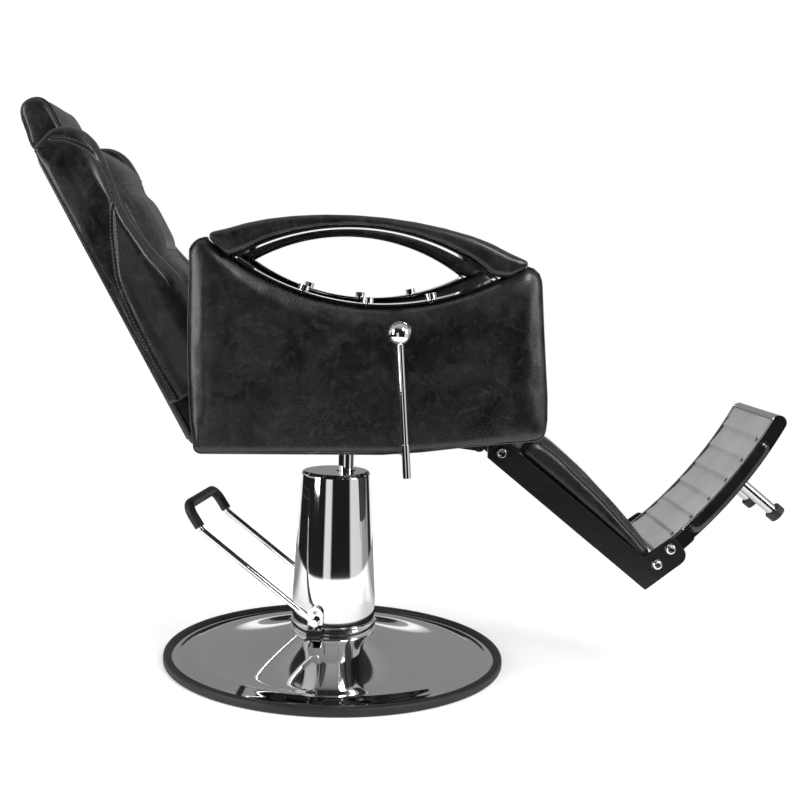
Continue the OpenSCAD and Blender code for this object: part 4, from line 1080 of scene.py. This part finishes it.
def make_bolt_details():
    head = [(0.0100, 0.0008), (0.0097, 0.0022), (0.0080, 0.0058),
            (0.0067, 0.0075), (0.0055, 0.0081), (0.0044, 0.0079)]
    # The socket is a dark disc on each bolt head, painted shade in place of a recessed hex.
    socket = [(0.0044, 0.0070), (0.0044, 0.0080), (0.0040, 0.0081)]
    for label, side in mirror_sides():
        for k, z in enumerate((0.0246, 0.0585)):
            face = LEG @ Vector((LEG_LEN, side * 0.112, z))
            turned(f"ear_bolt_head_{label}_{k}", head, face, (0, side, 0), "leg_rest", "chrome")
            turned(f"ear_socket_shade_{label}_{k}", socket, face, (0, side, 0), "leg_rest", "black_rubber", "dark_trim_and_shade", 6)
    hub = LEG_PIVOT + Vector((0, -0.1155, 0))
    turned("pivot_cap", [(0.0094, -0.001), (0.0094, 0.0004), (0.0088, 0.0009), (0.0064, 0.0010), (0.0060, 0.0004)],
           hub, (0, -1, 0), "leg_rest", "black_rubber", "dark_trim_and_shade")
    ring = [hub + Vector((0.0068 * math.cos(a), -0.0010, 0.0068 * math.sin(a)))
            for a in [2 * math.pi * k / 40 for k in range(40)]]
    tube("pivot_ring", ring, 0.0006, "leg_rest", "chrome", "chrome", 8, True)


make_bolt_details()


# ---- floor, world and lamps ---------------------------------------------------------------------
def make_floor():
    bpy.ops.mesh.primitive_circle_add(vertices=96, radius=1.16, fill_type="NGON", location=(0.0, 0.0, -0.0005))
    floor = bpy.context.object
    floor.scale = (0.90, 1.0, 1.0)
    floor.name = "floor"
    s = Shader("floor", Roughness=0.9)
    s.bsdf.inputs["Specular IOR Level"].default_value = 0.0
    path = s.add("ShaderNodeLightPath")
    seen = s.math("MULTIPLY", path.outputs["Is Camera Ray"], 0.36)
    behind = s.add("ShaderNodeMapRange", {
        "Value": s.add("ShaderNodeSeparateXYZ", {"Vector": s.coords}).outputs["Y"],
        "From Min": 0.22, "From Max": 0.45}).outputs["Result"]
    greyed = s.math("MULTIPLY", behind, path.outputs["Is Glossy Ray"])
    s.link(s.mix(greyed, (0.86, 0.86, 0.86), (0.28, 0.28, 0.28)), "Base Color")
    mirrored = s.math("MULTIPLY", s.math("SUBTRACT", path.outputs["Is Glossy Ray"], greyed), 0.12)
    glow = s.add("ShaderNodeEmission", {"Color": (1, 1, 1, 1), "Strength": s.math("ADD", seen, mirrored)})
    total = s.add("ShaderNodeAddShader", {0: s.bsdf.outputs[0], 1: glow.outputs[0]})
    s.tree.links.new(total.outputs[0], s.tree.nodes["Material Output"].inputs["Surface"])
    floor.data.materials.append(s.material)


class Sky(Shader):
    """World shader: white to the camera, an even fill to matt surfaces, a studio to reflections."""

    def __init__(self):
        world = bpy.data.worlds.new("studio")
        scene.world = world
        world.use_nodes = True
        self.tree = world.node_tree
        self.background = self.tree.nodes["Background"]
        self.coords = self.add("ShaderNodeTexCoord").outputs["Generated"]


def degrees(value):
    """Place on an azimuth ramp of an angle from -180 to 180, where 0 is -Y and 90 is +X."""
    return (value + 180) / 360


def make_world():
    s = Sky()
    split = s.add("ShaderNodeSeparateXYZ", {"Vector": s.coords}).outputs
    azimuth = s.math("ARCTAN2", split["X"], s.math("MULTIPLY", split["Y"], -1.0))
    around = s.add("ShaderNodeMapRange", {
        "Value": azimuth, "From Min": -math.pi, "From Max": math.pi}).outputs["Result"]
    height = s.add("ShaderNodeMapRange", {"Value": split["Z"], "From Min": -1.0, "From Max": 1.0}).outputs["Result"]
    d = degrees
    low = s.ramp(around, [
        (0.0, 1.0), (d(-142), 1.0), (d(-134), 0.015), (d(-33), 0.012), (d(-29), 0.8), (d(-13), 0.75), (d(-9), 0.012),
        (d(44), 0.012), (d(50), 0.75), (d(84), 0.70), (d(92), 0.34), (d(116), 0.30), (d(122), 0.015),
        (d(136), 0.02), (d(143), 1.0), (1.0, 1.0)])
    mid = s.ramp(around, [
        (0.0, 0.26), (d(-140), 0.22), (d(-118), 0.6), (d(-72), 0.6), (d(-58), 0.03), (d(-4), 0.02), (d(34), 0.03),
        (d(56), 0.35), (d(112), 0.6), (d(136), 0.24), (1.0, 0.26)])
    sin_of = lambda degrees_up: (math.sin(math.radians(degrees_up)) + 1) / 2
    lift = s.ramp(height, [(sin_of(0.5), 0.0), (sin_of(4.5), 1.0)])
    studio = s.mix(lift, low, mid)
    top = s.ramp(height, [(sin_of(38), 0.0), (sin_of(58), 1.0)])
    studio = s.mix(top, studio, (0.42, 0.42, 0.42))
    path = s.add("ShaderNodeLightPath").outputs
    plain = s.mix(path["Is Glossy Ray"], (0.55, 0.55, 0.55), studio)
    seen = s.math("MAXIMUM", path["Is Camera Ray"], path["Is Transmission Ray"])
    final = s.mix(seen, plain, (1, 1, 1))
    s.tree.links.new(final, s.background.inputs["Color"])
    s.background.inputs["Strength"].default_value = 1.0


def lamp(name, place, target, size, power, glossy=True):
    data = bpy.data.lights.new(name, "AREA")
    data.shape = "RECTANGLE"
    data.size, data.size_y = size
    data.energy = power
    obj = bpy.data.objects.new(name, data)
    obj.location = place
    obj.rotation_euler = (Vector(target) - Vector(place)).to_track_quat("-Z", "Y").to_euler()
    obj.visible_camera = False
    obj.visible_glossy = glossy
    scene.collection.objects.link(obj)


def make_lamps():
    lamp("overhead", (0.1, -0.1, 2.6), (0, 0, 0.4), (1.8, 1.8), 38, False)
    lamp("left", (-2.25, -1.25, 0.92), (-0.1, -0.1, 0.7), (0.8, 1.7), 26)
    lamp("right", (2.25, -1.25, 1.25), (0.1, -0.1, 0.75), (0.7, 1.3), 15)
    lamp("key", (1.25, -1.85, 1.95), (-0.35, -0.2, 0.8), (0.7, 0.9), 26)


make_floor()
make_world()
make_lamps()
scene.view_settings.view_transform = "Standard"
